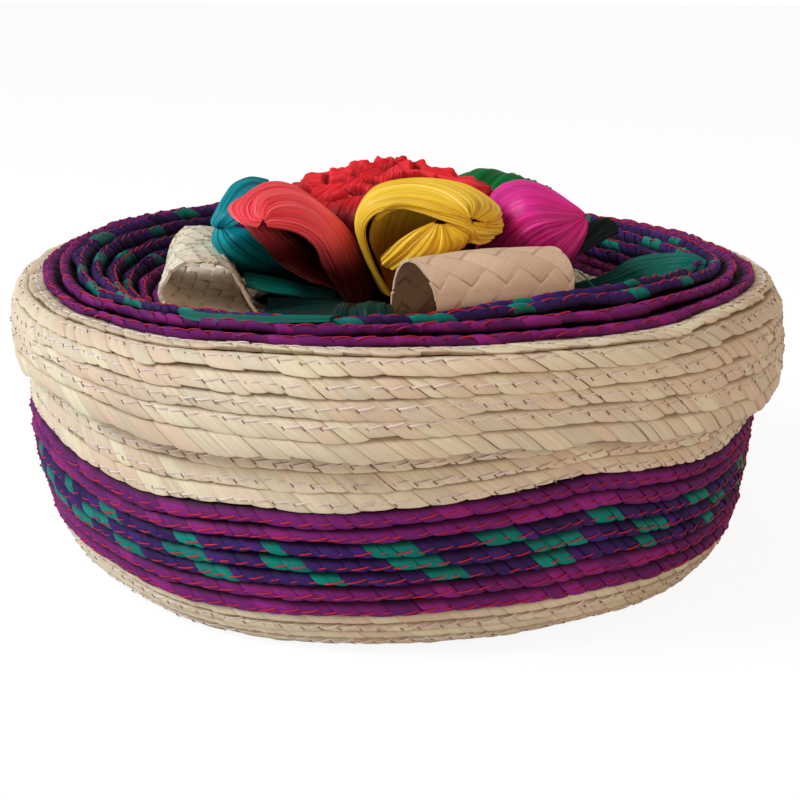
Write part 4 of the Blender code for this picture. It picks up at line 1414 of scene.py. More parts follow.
# The petal at the front left: from foot to the swirl that it ends in, and the wall under it
CORAL_CROWN = (
    ((350, 303, -44), (336, 285, -48), (323, 267, -51), (317, 251, -53), (308, 240, -55), (297, 233, -57),
     (284, 229, -59), (268, 227, -60)),
    ((355, 303, -44), (345, 279, -48), (334, 253, -51), (320, 233, -53), (303, 223, -55), (286, 219, -57),
     (272, 219, -59), (265, 222, -60)),
    ((360, 303, -42), (356, 277, -45), (343, 247, -47), (325, 221, -48), (305, 206, -50), (285, 201, -53),
     (269, 207, -57), (264, 220, -60)),
    ((366, 302, -40), (364, 275, -41), (350, 245, -42), (330, 216, -43), (306, 198, -44), (281, 192, -48),
     (263, 198, -54), (258, 212, -58), (262, 220, -60)),
    ((372, 300, -36), (370, 275, -36), (356, 248, -37), (338, 222, -38), (314, 200, -38), (286, 187, -42),
     (260, 190, -48), (244, 206, -55), (249, 220, -59), (262, 221, -60)),
    ((378, 295, -32), (373, 271, -31), (360, 250, -32), (342, 224, -32), (318, 204, -33), (291, 186, -36),
     (266, 184, -40), (243, 198, -47), (229, 209, -53), (240, 222, -58), (257, 227, -60)),
    ((384, 292, -28), (374, 270, -24), (362, 249, -22), (342, 226, -22), (318, 210, -25), (290, 194, -30),
     (266, 191, -36), (250, 202, -43), (242, 214, -50), (250, 226, -57)),
    ((384, 296, -24), (372, 276, -18), (356, 256, -14), (336, 238, -14), (312, 222, -16), (286, 210, -22),
     (266, 208, -30), (256, 216, -40), (252, 224, -50), (258, 229, -55)),
    ((380, 302, -24), (366, 288, -16), (346, 274, -12), (322, 262, -12), (300, 250, -18), (282, 242, -27),
     (272, 237, -37), (266, 235, -46), (264, 234, -52)),
)
CORAL_WALL = (
    ((228, 207, -53), (238, 220, -53), (254, 238, -52), (267, 250, -51), (283, 264, -50), (311, 280, -48),
     (335, 287, -46), (350, 303, -44)),
    ((248, 222, -58), (262, 240, -55), (280, 256, -50), (300, 268, -46), (322, 278, -44), (338, 287, -43),
     (352, 302, -43)),
    ((254, 212, -50), (266, 224, -53), (282, 242, -50), (300, 254, -44), (318, 266, -40), (334, 276, -40),
     (345, 287, -40), (354, 301, -42)),
    ((268, 212, -46), (276, 224, -48), (292, 236, -44), (310, 248, -40), (324, 262, -38), (336, 274, -38),
     (347, 285, -39), (356, 300, -41)),
)
# The petal at the right: from foot to the tip that it is drawn together in
PINK_CROWN = (
    ((458, 262, -2), (500, 268, -2), (528, 262, 2), (548, 250, 4), (564, 238, -2), (577, 226, -14),
     (586, 216, -26)),
    ((458, 260, -1), (492, 250, 4), (516, 232, 10), (538, 220, 10), (558, 216, 2), (575, 215, -14),
     (586, 215, -26)),
    ((457, 258, -1), (482, 234, 2), (503, 208, 5), (520, 196, 4), (541, 195, -2), (563, 203, -11),
     (580, 211, -22), (586, 215, -26)),
    ((457, 256, -2), (476, 232, -7), (489, 200, -12), (500, 187, -13), (516, 181, -15), (534, 183, -17),
     (552, 191, -20), (570, 203, -24), (582, 211, -26), (586, 215, -27)),
    ((457, 258, -3), (480, 240, -16), (496, 210, -24), (508, 198, -26), (524, 192, -28), (542, 194, -28),
     (560, 202, -28), (575, 209, -28), (586, 215, -27)),
    ((458, 260, -4), (484, 250, -22), (502, 222, -34), (516, 210, -37), (532, 205, -38), (549, 206, -36),
     (564, 210, -33), (576, 213, -30), (586, 215, -27)),
    ((459, 262, -5), (488, 258, -26), (510, 235, -40), (524, 224, -43), (540, 218, -43), (555, 217, -40),
     (568, 217, -36), (578, 216, -32), (586, 216, -27)),
    ((460, 264, -5), (496, 266, -27), (524, 247, -41), (538, 237, -43), (550, 231, -43), (562, 227, -40),
     (571, 223, -36), (579, 219, -32), (586, 216, -27)),
    ((460, 266, -5), (506, 272, -26), (542, 257, -38), (554, 249, -39), (563, 241, -38), (571, 234, -36),
     (578, 227, -33), (583, 221, -30), (586, 216, -27)),
    ((460, 268, -4), (516, 277, -20), (560, 264, -31), (568, 255, -33), (574, 246, -32), (580, 237, -31),
     (584, 229, -29), (586, 222, -28), (586, 216, -27)),
    ((459, 267, -3), (512, 276, -12), (560, 268, -20), (572, 258, -22), (580, 246, -23), (585, 234, -24),
     (587, 225, -25), (586, 216, -27)),
)
# The petal at the left: its upper lobe, and the lower one that runs back to the core
BLUE_CROWN = (
    ((290, 216, 2), (268, 212, 1), (250, 214, -6), (237, 221, -14), (226, 227, -24), (219, 230, -31)),
    ((280, 196, -3), (260, 192, -3), (243, 197, -8), (230, 208, -15), (221, 221, -25), (217, 229, -31)),
    ((268, 180, -12), (250, 177, -15), (234, 183, -19), (225, 194, -23), (217, 208, -28), (211, 222, -30),
     (216, 228, -32)),
    ((274, 190, -20), (256, 186, -24), (241, 192, -28), (231, 203, -32), (224, 214, -35), (217, 224, -35),
     (218, 229, -34)),
    ((278, 200, -26), (262, 198, -30), (247, 203, -35), (237, 211, -38), (229, 219, -39), (222, 226, -37),
     (220, 230, -35)),
    ((282, 214, -28), (268, 214, -34), (253, 217, -40), (242, 222, -42), (233, 226, -41), (226, 229, -39),
     (222, 231, -36)),
)
BLUE_LOBE = (
    ((220, 230, -28), (226, 242, -21), (238, 254, -17), (254, 264, -16), (278, 274, -17), (304, 284, -20)),
    ((217, 229, -31), (217, 241, -26), (222, 251, -24), (232, 262, -22), (248, 271, -21), (272, 277, -21),
     (302, 285, -22)),
    ((216, 227, -33), (212, 240, -33), (216, 250, -32), (226, 262, -30), (238, 272, -28), (262, 276, -26),
     (300, 284, -24)),
    ((219, 229, -37), (219, 240, -39), (225, 251, -39), (236, 261, -37), (250, 269, -33), (272, 275, -30),
     (304, 283, -26)),
    ((223, 229, -39), (229, 239, -43), (237, 247, -43), (247, 255, -41), (262, 263, -36), (282, 270, -32),
     (308, 280, -27)),
    ((227, 228, -40), (239, 234, -44), (250, 241, -44), (260, 248, -42), (275, 256, -38), (293, 265, -33),
     (312, 277, -28)),
    ((232, 226, -41), (249, 229, -44), (261, 235, -44), (272, 242, -42), (286, 250, -38), (301, 260, -33),
     (316, 273, -28)),
)


# Heights between which a petal's painted shade goes from none to full, and the painted shade of its inner
# side
PETAL_GLOOM = (107.0, 88.0, 0.6)
# Painted shade of a leaf where others cover it
ROOT_GLOOM = 0.86


def petal_parts(rng, guides, along, across, pleats, depth, dark=PETAL_GLOOM, root=0.0, side=0.0):
    """A pleated sheet through strands seen in the photograph, with painted shade low down and at its root or
    along one side.
    """
    grid = strand_grid([seen_at(guide) for guide in guides], along, across)
    from_side = np.linspace(0, 1, across)[None]
    if ((np.array(CAMERA_PLACE) - grid) * grid_normals(grid)).sum() < 0:
        grid, from_side = grid[:, ::-1], from_side[:, ::-1]
    grid, folds = pleated(grid, pleats, depth, rng)
    lit = smooth_step(np.linspace(0, 1, along)[:, None], root * 0.5, root + 0.001)
    lit = np.minimum(lit, smooth_step(from_side, side * 0.8, side + 0.001))
    shades = [np.maximum(shade, ROOT_GLOOM * (1 - lit.reshape(-1))) for shade in gloom(grid, *dark)]
    return sheet_parts(grid, folds, SHEET, rng, shades)


def turn_matrix(angle):
    """The matrix that turns rows of points about the basket's axis, by an angle in degrees."""
    cos, sin = math.cos(math.radians(angle)), math.sin(math.radians(angle))
    return np.array([[cos, sin, 0], [-sin, cos, 0], [0, 0, 1]])


def turned_about(part, angle, scale, drop):
    """A part turned about the basket's axis, scaled about the middle of the dish and lowered."""
    points, faces, values, uv = part
    middle = np.array([0, 0, DISH_HEIGHT])
    return ((points - middle) * scale) @ turn_matrix(angle) + middle - (0, 0, drop), faces, values, uv


class BASKET_OT_petals(bpy.types.Operator):
    """Fold the looped petals of the ornament"""

    bl_idname = "object.basket_petals"
    bl_label = "Petals"

    def execute(self, context):
        rng = np.random.default_rng(SEED + 60)
        # The last tuple of a part: heights between which its painted shade goes from none to full, and the
        # painted shade of its inner side
        yellow = [
            petal_parts(rng, YELLOW_CROWN, 110, 90, 19, 0.55, (98.0, 80.0, 0.45)),
            petal_parts(rng, YELLOW_COLLAR, 60, 24, 4, 0.35, (90.0, 80.0, 0.3)),
            petal_parts(rng, YELLOW_FAN, 50, 64, 13, 0.6, (104.0, 84.0, 0.5)),
            petal_parts(rng, YELLOW_FOLD, 26, 24, 5, 0.4, (96.0, 90.0, 0.5)),
            petal_parts(rng, YELLOW_INSIDE, 40, 40, 9, 0.3, (124.0, 98.0, 0.9)),
        ]
        coral = [
            petal_parts(rng, CORAL_CROWN, 110, 132, 27, 0.6, (112.0, 96.0, 0.65)),
            petal_parts(rng, CORAL_WALL, 60, 40, 8, 0.35, (120.0, 102.0, 0.7)),
        ]
        pink = [petal_parts(rng, PINK_CROWN, 100, 150, 32, 0.5)]
        blue = [
            petal_parts(rng, BLUE_CROWN, 60, 84, 15, 0.4),
            petal_parts(rng, BLUE_LOBE, 80, 84, 16, 0.5, (102.0, 93.0, 0.6)),
        ]
        green = [turned_about(part, 65, 0.93, 0.4) for part in pink]
        orange = [turned_about(part, 116, 0.88, 4) for part in pink]
        rear = [turned_about(part, 160, 0.84, 6) for part in pink]
        petals = (
            ("front_yellow_petal", yellow, "yellow", "front_yellow_loop"),
            ("front_left_coral_petal", coral, "coral", "front_left_coral_loop"),
            ("right_pink_petal", pink, "pink", "right_magenta_loop"),
            ("left_blue_petal", blue, "blue", "left_teal_loop"),
            ("back_right_green_petal", green, "green", "back_right_green_loop"),
            ("back_orange_petal", orange, "orange", "back_loop"),
            ("back_left_pink_petal", rear, "pink", "back_left_loop"),
        )
        for name, parts, dye, node in petals:
            dress(sheet_piece(name, parts, dye), node, "lid")
        return {"FINISHED"}


# The flower's knotted hollows: share of the way up its outline, bearing in degrees, size in mm
FLOWER_HOLLOWS = (
    (0.94, 265, 3.2), (0.885, 346, 2.8), (0.787, 301, 3), (0.774, 252, 2.2), (0.779, 279, 2.2),
    (0.739, 326, 2.4), (0.677, 244, 3), (0.722, 210, 3.4), (0.61, 355, 3.2), (0.627, 233, 2.6),
    (0.7, 8, 3), (0.825, 20, 2.8), (0.787, 222, 2), (0.6, 330, 2.8), (0.61, 268, 2.6),
    (0.58, 300, 3), (0.86, 60, 3), (0.76, 50, 2.6), (0.66, 32, 3), (0.9, 130, 3),
    (0.78, 90, 2.6), (0.68, 74, 3.2), (0.61, 100, 2.8), (0.74, 118, 3), (0.8, 158, 2.6),
    (0.66, 140, 3), (0.72, 182, 2.8), (0.86, 196, 2.4), (0.62, 168, 2.8), (0.6, 200, 3),
    (0.56, 50, 2.6), (0.55, 125, 2.6), (0.54, 15, 2.8), (0.55, 345, 2.6), (0.54, 215, 2.6),
)
# How deep in mm a hollow of 3 mm is, its width and height to its size, and the most that it leans
HOLLOW_DEPTH = 2.4
HOLLOW_WIDTH, HOLLOW_HEIGHT, HOLLOW_LEAN = 1.15, 0.42, 0.9
# How far the ruffle above each hollow stands out, and how many hollow heights above it is
RUFFLE_SWELL = 1.5
RUFFLE_PLACE = 1.7
# Bearings at which a strip stands out to the side and by how much, then its share of the way up and
# its width in degrees and in such a share
FLOWER_ENDS = ((188, 3.8), (352, 4.4))
FLOWER_END_PLACE = 0.57
FLOWER_END_SIZE = (26, 0.10)
# Radius and height of the flower's outline, from foot to crown, and where its middle stands
FLOWER_OUTLINE = (
    (9, 86), (20, 88), (28, 93), (32, 100), (32.5, 107), (30.5, 112.3), (25.5, 116.4), (18, 120),
    (9, 122.6), (0.3, 123.4),
)
FLOWER_MIDDLE = (-1.0, 0.0, 0.0)
# Heights between which its painted shade fades from full to none
FLOWER_GLOOM = (109, 119)
# Length of its outline and mean radius, which set the scale of its fibres
FLOWER_RISE, FLOWER_GIRTH = 62.0, 28.0
FLOWER_GRID = (150, 460)
FLOWER_STRIPS = 140
FLOWER_FOLD = 0.26


def hollows(up, bearing, radius, rng):
    """How far the flower's knots make it stand out, and the painted shade in their hollows."""
    stand = dark = np.zeros(FLOWER_GRID)
    for place, toward, size in FLOWER_HOLLOWS:
        step = np.radians(degrees_past(np.degrees(bearing), toward))
        aside = step * np.interp(place, up[:, 0], radius[:, 0]) / (HOLLOW_WIDTH * size)
        above = (up - place) * FLOWER_RISE / (HOLLOW_HEIGHT * size)
        lean = rng.uniform(-HOLLOW_LEAN, HOLLOW_LEAN)
        apart = np.hypot(aside + lean * above, above) / 1.15
        ruffle = np.exp(-(np.hypot(aside * 0.8, (above - RUFFLE_PLACE) * 0.7) ** 2))
        stand = stand + RUFFLE_SWELL * ruffle - HOLLOW_DEPTH * np.exp(-(apart**4)) * (size / 3)
        dark = np.maximum(dark, 0.85 * np.exp(-((apart * 0.95) ** 4)))
    return stand, dark


def flower_form(up, bearing, rng):
    """The flower as a grid of points, with how high its folds are and its painted shade."""
    outline = spaced(smooth_through(FLOWER_OUTLINE), len(up))
    radius, height = outline[:, :1], outline[:, 1:]
    slope = unit(np.gradient(outline, axis=0))
    stand, dark = hollows(up, bearing, radius, rng)
    drape = np.sin(bearing * 17 + 2 * np.sin(up * 5)) + 0.6 * np.sin(bearing * 29 + 1)
    stand += (0.25 + 0.8 * (1 - smooth_step(up, 0.45, 0.60))) * drape
    for toward, reach in FLOWER_ENDS:
        aside = degrees_past(np.degrees(bearing), toward) / FLOWER_END_SIZE[0]
        above = (up - FLOWER_END_PLACE) / FLOWER_END_SIZE[1]
        stand += reach * np.exp(-(aside**2) - above**2)
    stand += 0.5 * np.sin(bearing * 5 + up * 9) + 0.4 * np.sin(bearing * 8 - up * 14)
    dark = np.maximum(dark, 1 - smooth_step(height, *FLOWER_GLOOM))
    folds = 0.55 * np.sin(bearing * 96 + 3 * np.sin(up * 9))
    folds = folds + 0.45 * np.sin(bearing * 151 + 5 * np.sin(up * 6))
    stand += FLOWER_FOLD * folds * np.clip(radius / 18, 0.1, 1)
    radius = np.maximum(radius + stand * slope[:, 1:], 0.2)
    height = height - stand * slope[:, :1]
    grid = np.stack([radius * np.cos(bearing), radius * np.sin(bearing), height], axis=-1)
    return grid + FLOWER_MIDDLE, folds, dark


class BASKET_OT_flower(bpy.types.Operator):
    """Gather the ruffled flower in the middle of the ornament"""

    bl_idname = "object.basket_flower"
    bl_label = "Flower"

    def execute(self, context):
        rng = np.random.default_rng(SEED + 70)
        rows, columns = FLOWER_GRID
        up = np.linspace(0, 1, rows)[:, None]
        bearing = np.linspace(0, math.tau, columns, endpoint=False)[None]
        grid, folds, dark = flower_form(up, bearing, rng)
        index = np.arange(rows * columns).reshape(rows, columns)
        ahead = np.roll(index, -1, axis=1)
        faces = np.stack([index[:-1], ahead[:-1], ahead[1:], index[1:]], axis=-1).reshape(-1, 4)
        foot, crown = rows * columns, rows * columns + 1
        points = np.vstack([grid.reshape(-1, 3), grid[0].mean(0), grid[-1].mean(0)])
        caps = [(ahead[0, at], index[0, at], foot, foot) for at in range(columns)]
        caps += [(index[-1, at], ahead[-1, at], crown, crown) for at in range(columns)]
        faces = np.vstack([faces, caps])
        uv = np.stack([bearing * FLOWER_GIRTH + 0 * up, up * FLOWER_RISE + 0 * bearing], axis=-1)
        uv = np.vstack([uv.reshape(-1, 2), [[0, 0], [0, FLOWER_RISE]]])
        strips = rng.uniform(-1, 1, FLOWER_STRIPS)
        tone = strips[(bearing / math.tau * FLOWER_STRIPS).astype(int)] + 0 * up
        values = {"tone": tone, "crack": folds, "shade": dark}
        values = {key: np.append(value, [0, 0])[faces] for key, value in values.items()}
        made = mesh_piece("red_palm_flower", points, faces, [palm("red")], values, uv)
        dress(made, "red_flower", "lid")
        return {"FINISHED"}


# The plaited bands: lines round the arch from its inner foot over the top to its outer foot, from
# one end of the band to the other
FRONT_BAND = (
    ((391, 318, -61), (391, 300, -63), (394, 280, -65.5), (399, 266, -69), (406, 260, -73.5),
     (414, 261, -78), (423, 271, -82), (431, 283, -85), (435, 296, -87), (437, 314, -88), (426, 323, -83),
     (408, 324, -74), (394, 320, -64)),
    ((458, 308, -51), (458, 284, -53), (462, 265, -57), (470, 253, -62), (479, 250, -67), (489, 254, -72),
     (498, 264, -75.5), (504, 277, -78), (506, 290, -79.5), (507, 306, -80), (497, 316, -76),
     (480, 316, -66), (462, 311, -54)),
    ((524, 303, -41), (524, 280, -43), (530, 262, -46), (540, 250, -51), (550, 247, -56), (560, 250, -61),
     (568, 259, -65), (573, 271, -68), (574, 284, -70), (571, 300, -71), (562, 311, -67), (546, 311, -56),
     (529, 306, -44)),
)
LEFT_BAND = (
    ((256, 314, -44), (247, 298, -45), (239, 284, -46), (231, 271, -47), (218, 264, -48), (200, 262, -49.5),
     (186, 263, -51), (175, 269, -52.5), (167, 279, -53.5), (160, 291, -54), (165, 303, -54.5),
     (180, 311, -53), (205, 315, -50), (232, 317, -47), (252, 317, -45)),
    ((245, 292, -22), (239, 278, -23), (233, 265, -24), (226, 253, -24.5), (216, 246, -25), (200, 244, -26),
     (187, 245, -27.5), (178, 250, -29), (172, 258, -30), (167, 270, -31), (167, 283, -31), (180, 291, -29),
     (202, 294, -26), (225, 296, -24), (241, 296, -22.5)),
    ((232, 268, 0), (229, 255, 0), (225, 243, 0), (220, 233, -1), (212, 229, -1.5), (200, 227, -2.5),
     (189, 227.5, -4), (181, 231, -5), (175, 239, -6), (171, 250, -7), (169, 263, -8), (178, 264, 2),
     (198, 264, 7), (216, 266, 6), (229, 268, 2)),
)
# Thickness of a band and how dark the painted shade is in the gaps at its strips' ends and sides. Its strips
# are counted from this number up
BAND_SHEET = 0.9
BAND_GAP_SHADE = 0.8
STRIPS_BEFORE = 40


def weave(first, second):
    """Stand of a twill's strips, and the painted shade in the gaps at their ends and sides, from places
    counted in strips along its two directions.
    """
    a, b = first % 1, second % 1
    phase = (np.floor(first) + np.floor(second)) % 4
    over = phase < 2
    across = np.where(over, a, b) * 2 - 1
    travel = np.where(over, phase + b, phase - 2 + a) - 1
    standing = 1 - 0.25 * np.abs(across) ** 4 - 0.9 * np.abs(travel) ** 5 - 0.35 * np.abs(travel) ** 2
    # Painted shade in the gaps where a strip ends under another, and at its sides
    cut = np.clip((np.abs(travel) - 0.90) / 0.10, 0, 1) * (0.35 + 0.65 * (across > 0))
    side = np.clip((np.abs(across) - 0.93) / 0.07, 0, 1) * 0.35
    return standing, np.maximum(cut, side) * BAND_GAP_SHADE


def woven_parts(rng, guides, along, across, strip, slant, puff, inside):
    """A plaited band of strips in a two-over two-under twill, slanted by so many degrees.

    Its strips stand out by the puff, in mm, and its inner side gets painted shade by the share inside.
    """
    cos, sin = math.cos(math.radians(slant)), math.sin(math.radians(slant))
    grid = strand_grid([seen_at(ring) for ring in guides], along, across)
    around, wide = sheet_size(grid)
    u, v = np.linspace(0, around, along), np.linspace(0, wide, across)

    def strips(u, v):
        return (u * sin + v * cos) / strip, (u * cos - v * sin) / strip + STRIPS_BEFORE

    standing, gap_shade = weave(*strips(u[:, None], v[None]))
    grid = grid + grid_normals(grid) * (standing * puff)[:, :, None]
    points, faces, values, _ = sheet_parts(grid, np.zeros((along, across)), BAND_SHEET, rng)
    count = along * across
    corner_u, corner_v = u[faces % count // across], v[faces % across]
    p, q = strips(corner_u.mean(1, keepdims=True), corner_v.mean(1, keepdims=True))
    over = (np.floor(p) + np.floor(q)) % 4 < 2
    corner_p = corner_u * sin + corner_v * cos
    corner_q = corner_u * cos - corner_v * sin
    uv = np.stack([np.where(over, corner_q, corner_p), np.where(over, corner_p, corner_q)], axis=-1)
    tone_first = rng.uniform(-1, 1, 99)[np.floor(p).astype(int) % 99]
    tone_second = rng.uniform(-1, 1, 99)[np.floor(q).astype(int) % 99]
    values["tone"] = np.where(over, tone_first, tone_second) + 0 * values["tone"]
    dark = np.tile(gap_shade.reshape(-1), 2)[faces]
    under = faces.min(1) >= count
    values["shade"] = np.where(under[:, None], inside + (1 - inside) * dark, dark)
    return points, faces, values, uv


class BASKET_OT_bands(bpy.types.Operator):
    """Plait the three bands that are bent into arches"""

    bl_idname = "object.basket_bands"
    bl_label = "Bands"

    def execute(self, context):
        rng = np.random.default_rng(SEED + 80)
        # The last value of a band is the painted shade of its inner side
        front = woven_parts(rng, FRONT_BAND, 210, 120, 7.0, 47, 0.3, 0.25)
        left = woven_parts(rng, LEFT_BAND, 230, 132, 4.6, 12, 0.55, 0.05)
        back = turned_about(front, -220, 0.94, 0)
        bands = (
            ("front_plaited_band", front, "cane", "front_woven_band"),
            ("left_plaited_band", left, "cream", "left_woven_band"),
            ("back_plaited_band", back, "cane", "back_woven_band"),
        )
        for name, part, dye, node in bands:
            dress(sheet_piece(name, [part], dye), node, "lid")
        return {"FINISHED"}


# The leaves that are seen, as strands from root to tip, one edge to the other
RIGHT_LEAF = (
    ((560, 300, -16), (612, 296, -26), (650, 288, -32), (675, 282, -34), (692, 276, -33), (704, 269, -28)),
    ((560, 296, -12), (611, 289, -19), (647, 280, -25), (671, 275, -27), (688, 271, -27), (705, 266, -24)),
    ((560, 292, -9), (609, 283, -13), (642, 271, -18), (667, 267, -20), (686, 265, -22), (706, 263, -21)),
    ((560, 289, -6), (606, 279, -7), (635, 265, -10), (660, 260, -13), (684, 258, -17), (706, 261, -19)),
    ((560, 286, -3), (600, 277, -2), (628, 261, -1), (648, 255, -4), (668, 253, -8), (690, 253, -13),
     (706, 260, -17)),
)
RIM_LEAF = (
    ((345, 298, -50), (325, 297, -50), (305, 297, -50), (286, 297, -50), (268, 297, -50)),
    ((344, 310, -78), (320, 309.5, -77), (296, 310, -76), (276, 311.5, -75), (258, 313, -74)),
    ((338, 315.5, -98), (300, 315.5, -96), (262, 315, -93), (226, 314, -88.5), (196, 311.5, -84)),
    ((332, 317, -103.6), (298, 316.8, -101.8), (254, 315.8, -98), (214, 314.3, -92.4), (179, 309.5, -85)),
    ((330, 321.5, -107.3), (298, 322, -105.8), (252, 322.5, -102.6), (212, 321.5, -98), (186, 318, -93.4),
     (178, 312, -87)),
)
FRONT_LEAF = (
    ((366, 305, -45), (350, 308, -65), (334, 311, -84), (328, 318, -92)),
    ((370, 303, -45), (356, 304, -65), (342, 304, -87), (336, 318, -94)),
    ((374, 303, -45), (364, 305, -66), (352, 306, -87), (350, 318, -94)),
    ((378, 302, -45), (374, 302, -66), (366, 303, -88), (366, 318, -94)),
    ((382, 303, -45), (384, 304, -66), (382, 303, -87), (384, 318, -94)),
    ((386, 305, -45), (390, 306, -66), (392, 309, -86), (394, 318, -92)),
)
LEFT_LEAF = (
    ((335, 301, -42), (300, 296, -44), (268, 291, -44), (246, 286, -42)),
    ((335, 296, -37), (298, 290, -38), (266, 284, -38), (245, 280, -37)),
    ((335, 291, -32), (296, 283, -32), (264, 276, -32), (244, 273, -31)),
)
# The leaf at the back right, painted all in shade
SHADED_LEAF = (
    ((560, 266, 0), (588, 249, 6), (604, 240, 12), (618, 232, 18)),
    ((560, 260, 5), (586, 243, 11), (602, 232, 18), (618, 226, 24)),
    ((560, 254, 9), (584, 236, 15), (599, 225, 23), (612, 220, 29)),
    ((558, 248, 13), (580, 229, 19), (593, 220, 27), (604, 218, 32)),
)
# Each leaf's strands, points along and across, pleats and their depth. Then the heights between which its
# painted shade goes from none to full with the painted shade of its underside, and how far along its root or
# side it has painted shade where others cover it
SEEN_LEAVES = (
    ("right_pleated_leaf", "right_leaf", RIGHT_LEAF, 80, 80, 20, 0.4, (95, 80, 0.6)),
    ("front_left_pleated_leaf", "front_left_leaf", RIM_LEAF, 80, 90, 16, 0.3, (94.5, 91, 0.6), 0, 0.62),
    ("front_pleated_leaf", "front_leaf", FRONT_LEAF, 60, 80, 6, 0.45, (112, 90, 0.8)),
    ("left_pleated_leaf", "left_leaf", LEFT_LEAF, 50, 50, 9, 0.4, (94, 82, 0.6), 0.62),
    ("back_right_pleated_leaf", "back_right_leaf", SHADED_LEAF, 50, 50, 10, 0.5, (150, 120, 0.9)),
)
# Bearing, reach, width and lift in mm of the leaves that can't be seen
BACK_LEAVES = (
    ("back_left_pleated_leaf", "back_left_leaf", 124.0, 82.0, 32.0, 3.0),
    ("rear_pleated_leaf", "rear_leaf", 157.0, 80.0, 27.0, 2.9),
)
LEAF_ROOT = 8.0
# Share of a leaf's width by share of the way out to its tip, and the rise in mm of its middle
LEAF_WIDTH_SHARES = ((0, 0.12), (0.3, 0.45), (0.6, 0.8), (0.8, 1.0), (0.93, 0.85), (1, 0.35))
LEAF_ARCH = 1.6


def lid_top(radius, bearing):
    """Height in mm of the lid's rows at each radius and bearing, inside the shoulder."""
    along = np.interp(-radius, -LID.points[:, 0], LID.lengths)
    row = np.interp(along, LID_BRAID.edges, LID_BRAID.turns)
    return LID.at(along)[1] + LID_BRAID.heights.at(row, bearing)


def laid_leaf(rng, bearing, reach, width, lift):
    """A pleated leaf that lies out over the dish."""
    along = np.linspace(0, 1, 60)[:, None]
    side = np.linspace(-1, 1, 48)[None]
    out = LEAF_ROOT + (reach - LEAF_ROOT) * along
    across = width / 2 * np.interp(along, *zip(*LEAF_WIDTH_SHARES)) * side
    toward = math.radians(bearing) + np.arctan2(across, out)
    arch = LEAF_ARCH * (1 - side**2) * np.sin(math.pi * along)
    height = lid_top(np.hypot(out, across), toward) + lift + arch
    grid = np.stack([out + 0 * across, across, height], axis=-1) @ turn_matrix(bearing)
    grid, folds = pleated(grid, 13, 0.5, rng)
    # Painted shade, darker low down and on its underside
    return sheet_parts(grid, folds, SHEET, rng, gloom(grid, 92, 78, 0.5))


class BASKET_OT_leaves(bpy.types.Operator):
    """Spread the pleated green leaves"""

    bl_idname = "object.basket_leaves"
    bl_label = "Leaves"

    def execute(self, context):
        rng = np.random.default_rng(SEED + 90)
        leaves = [(name, node, petal_parts(rng, *sizes)) for name, node, *sizes in SEEN_LEAVES]
        leaves += [(name, node, laid_leaf(rng, *sizes)) for name, node, *sizes in BACK_LEAVES]
        for name, node, part in leaves:
            dress(sheet_piece(name, [part], "leaf"), node, "lid")
        return {"FINISHED"}


# The knot that holds the ornament, from its spread foot up: radius and height in mm
KNOT_OUTLINE = (
    (46, 84.2), (44, 86.2), (36, 87.4), (26, 88.2), (16, 89.5), (10, 92), (8.4, 95), (8.8, 97.2),
    (6, 98.5), (0.3, 98.8),
)
# Waves round its foot, as a number and a share of its radius, and the radii that they grow between
KNOT_WAVES = ((5, 0.10), (9, 0.06))
KNOT_FOOT = (14, 44)


class BASKET_OT_knot(bpy.types.Operator):
    """Bind the strips that hold the ornament to the lid"""

    bl_idname = "object.basket_knot"
    bl_label = "Knot"

    def execute(self, context):
        rng = np.random.default_rng(SEED + 100)
        outline = spaced(smooth_through(KNOT_OUTLINE), 40)
        bearing = np.linspace(0, math.tau, 120)[None]
        (few, deep), (many, shallow) = KNOT_WAVES
        sway = deep * np.sin(bearing * few + 1) + shallow * np.sin(bearing * many)
        radius = outline[:, :1] * (1 + sway * smooth_step(outline[:, :1], *KNOT_FOOT))
        height = outline[:, 1:] + 0 * bearing
        grid = np.stack([radius * np.cos(bearing), radius * np.sin(bearing), height], axis=-1)
        grid, folds = pleated(grid, 44, 0.6, rng)
        grid[:, -1] = grid[:, 0]
        # Painted shade over the knot, darkest at its foot
        part = sheet_parts(grid[::-1], folds[::-1], SHEET, rng, gloom(grid[::-1], 120, 84, 0.9))
        dress(sheet_piece("bound_knot", [part], "leaf"), "ornament_core", "lid")
        return {"FINISHED"}


# Loose threads: a line in photograph places and depth, thickness in mm, dye
DARK_THREAD = ((579, 272, -30), (585, 277, -34), (591, 284, -39), (597, 291, -44))
PINK_THREAD = ((474, 252, -58), (476, 248, -60), (479, 245, -61), (484, 242, -61))
VIOLET_THREAD = ((284, 318, -95), (287, 313, -96), (291, 311, -96), (294, 313, -96), (293, 317, -96))
THREADS = (
    ("loose_dark_thread", DARK_THREAD, 0.45, "leaf"),
    ("loose_pink_thread", PINK_THREAD, 0.25, "pink"),
    ("loose_violet_thread", VIOLET_THREAD, 0.4, "violet"),
)


class BASKET_OT_threads(bpy.types.Operator):
    """Leave a few loose ends of palm about the ornament"""

    bl_idname = "object.basket_threads"
    bl_label = "Loose Threads"

    def execute(self, context):
        for name, line, width, dye in THREADS:
            points = spaced(smooth_through(seen_at(line)), 24)
            along = unit(np.gradient(points, axis=0))
            side = unit(np.cross(along, (0, 0, 1.0)))
            lift = np.cross(side, along)
            turn = np.linspace(0, math.tau, 7)[:, None, None]
            grid = (points + width / 2 * (np.cos(turn) * side + np.sin(turn) * lift)).transpose(1, 0, 2)
            part = sheet_parts(grid, np.ones(grid.shape[:2]), width / 5, np.random.default_rng(SEED))
            made = sheet_piece(name, [part], dye)
            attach(made, "lid")
        return {"FINISHED"}


# The stage

FLOOR_HALF = 2.6
FLOOR_COLOUR = (0.86, 0.86, 0.86)
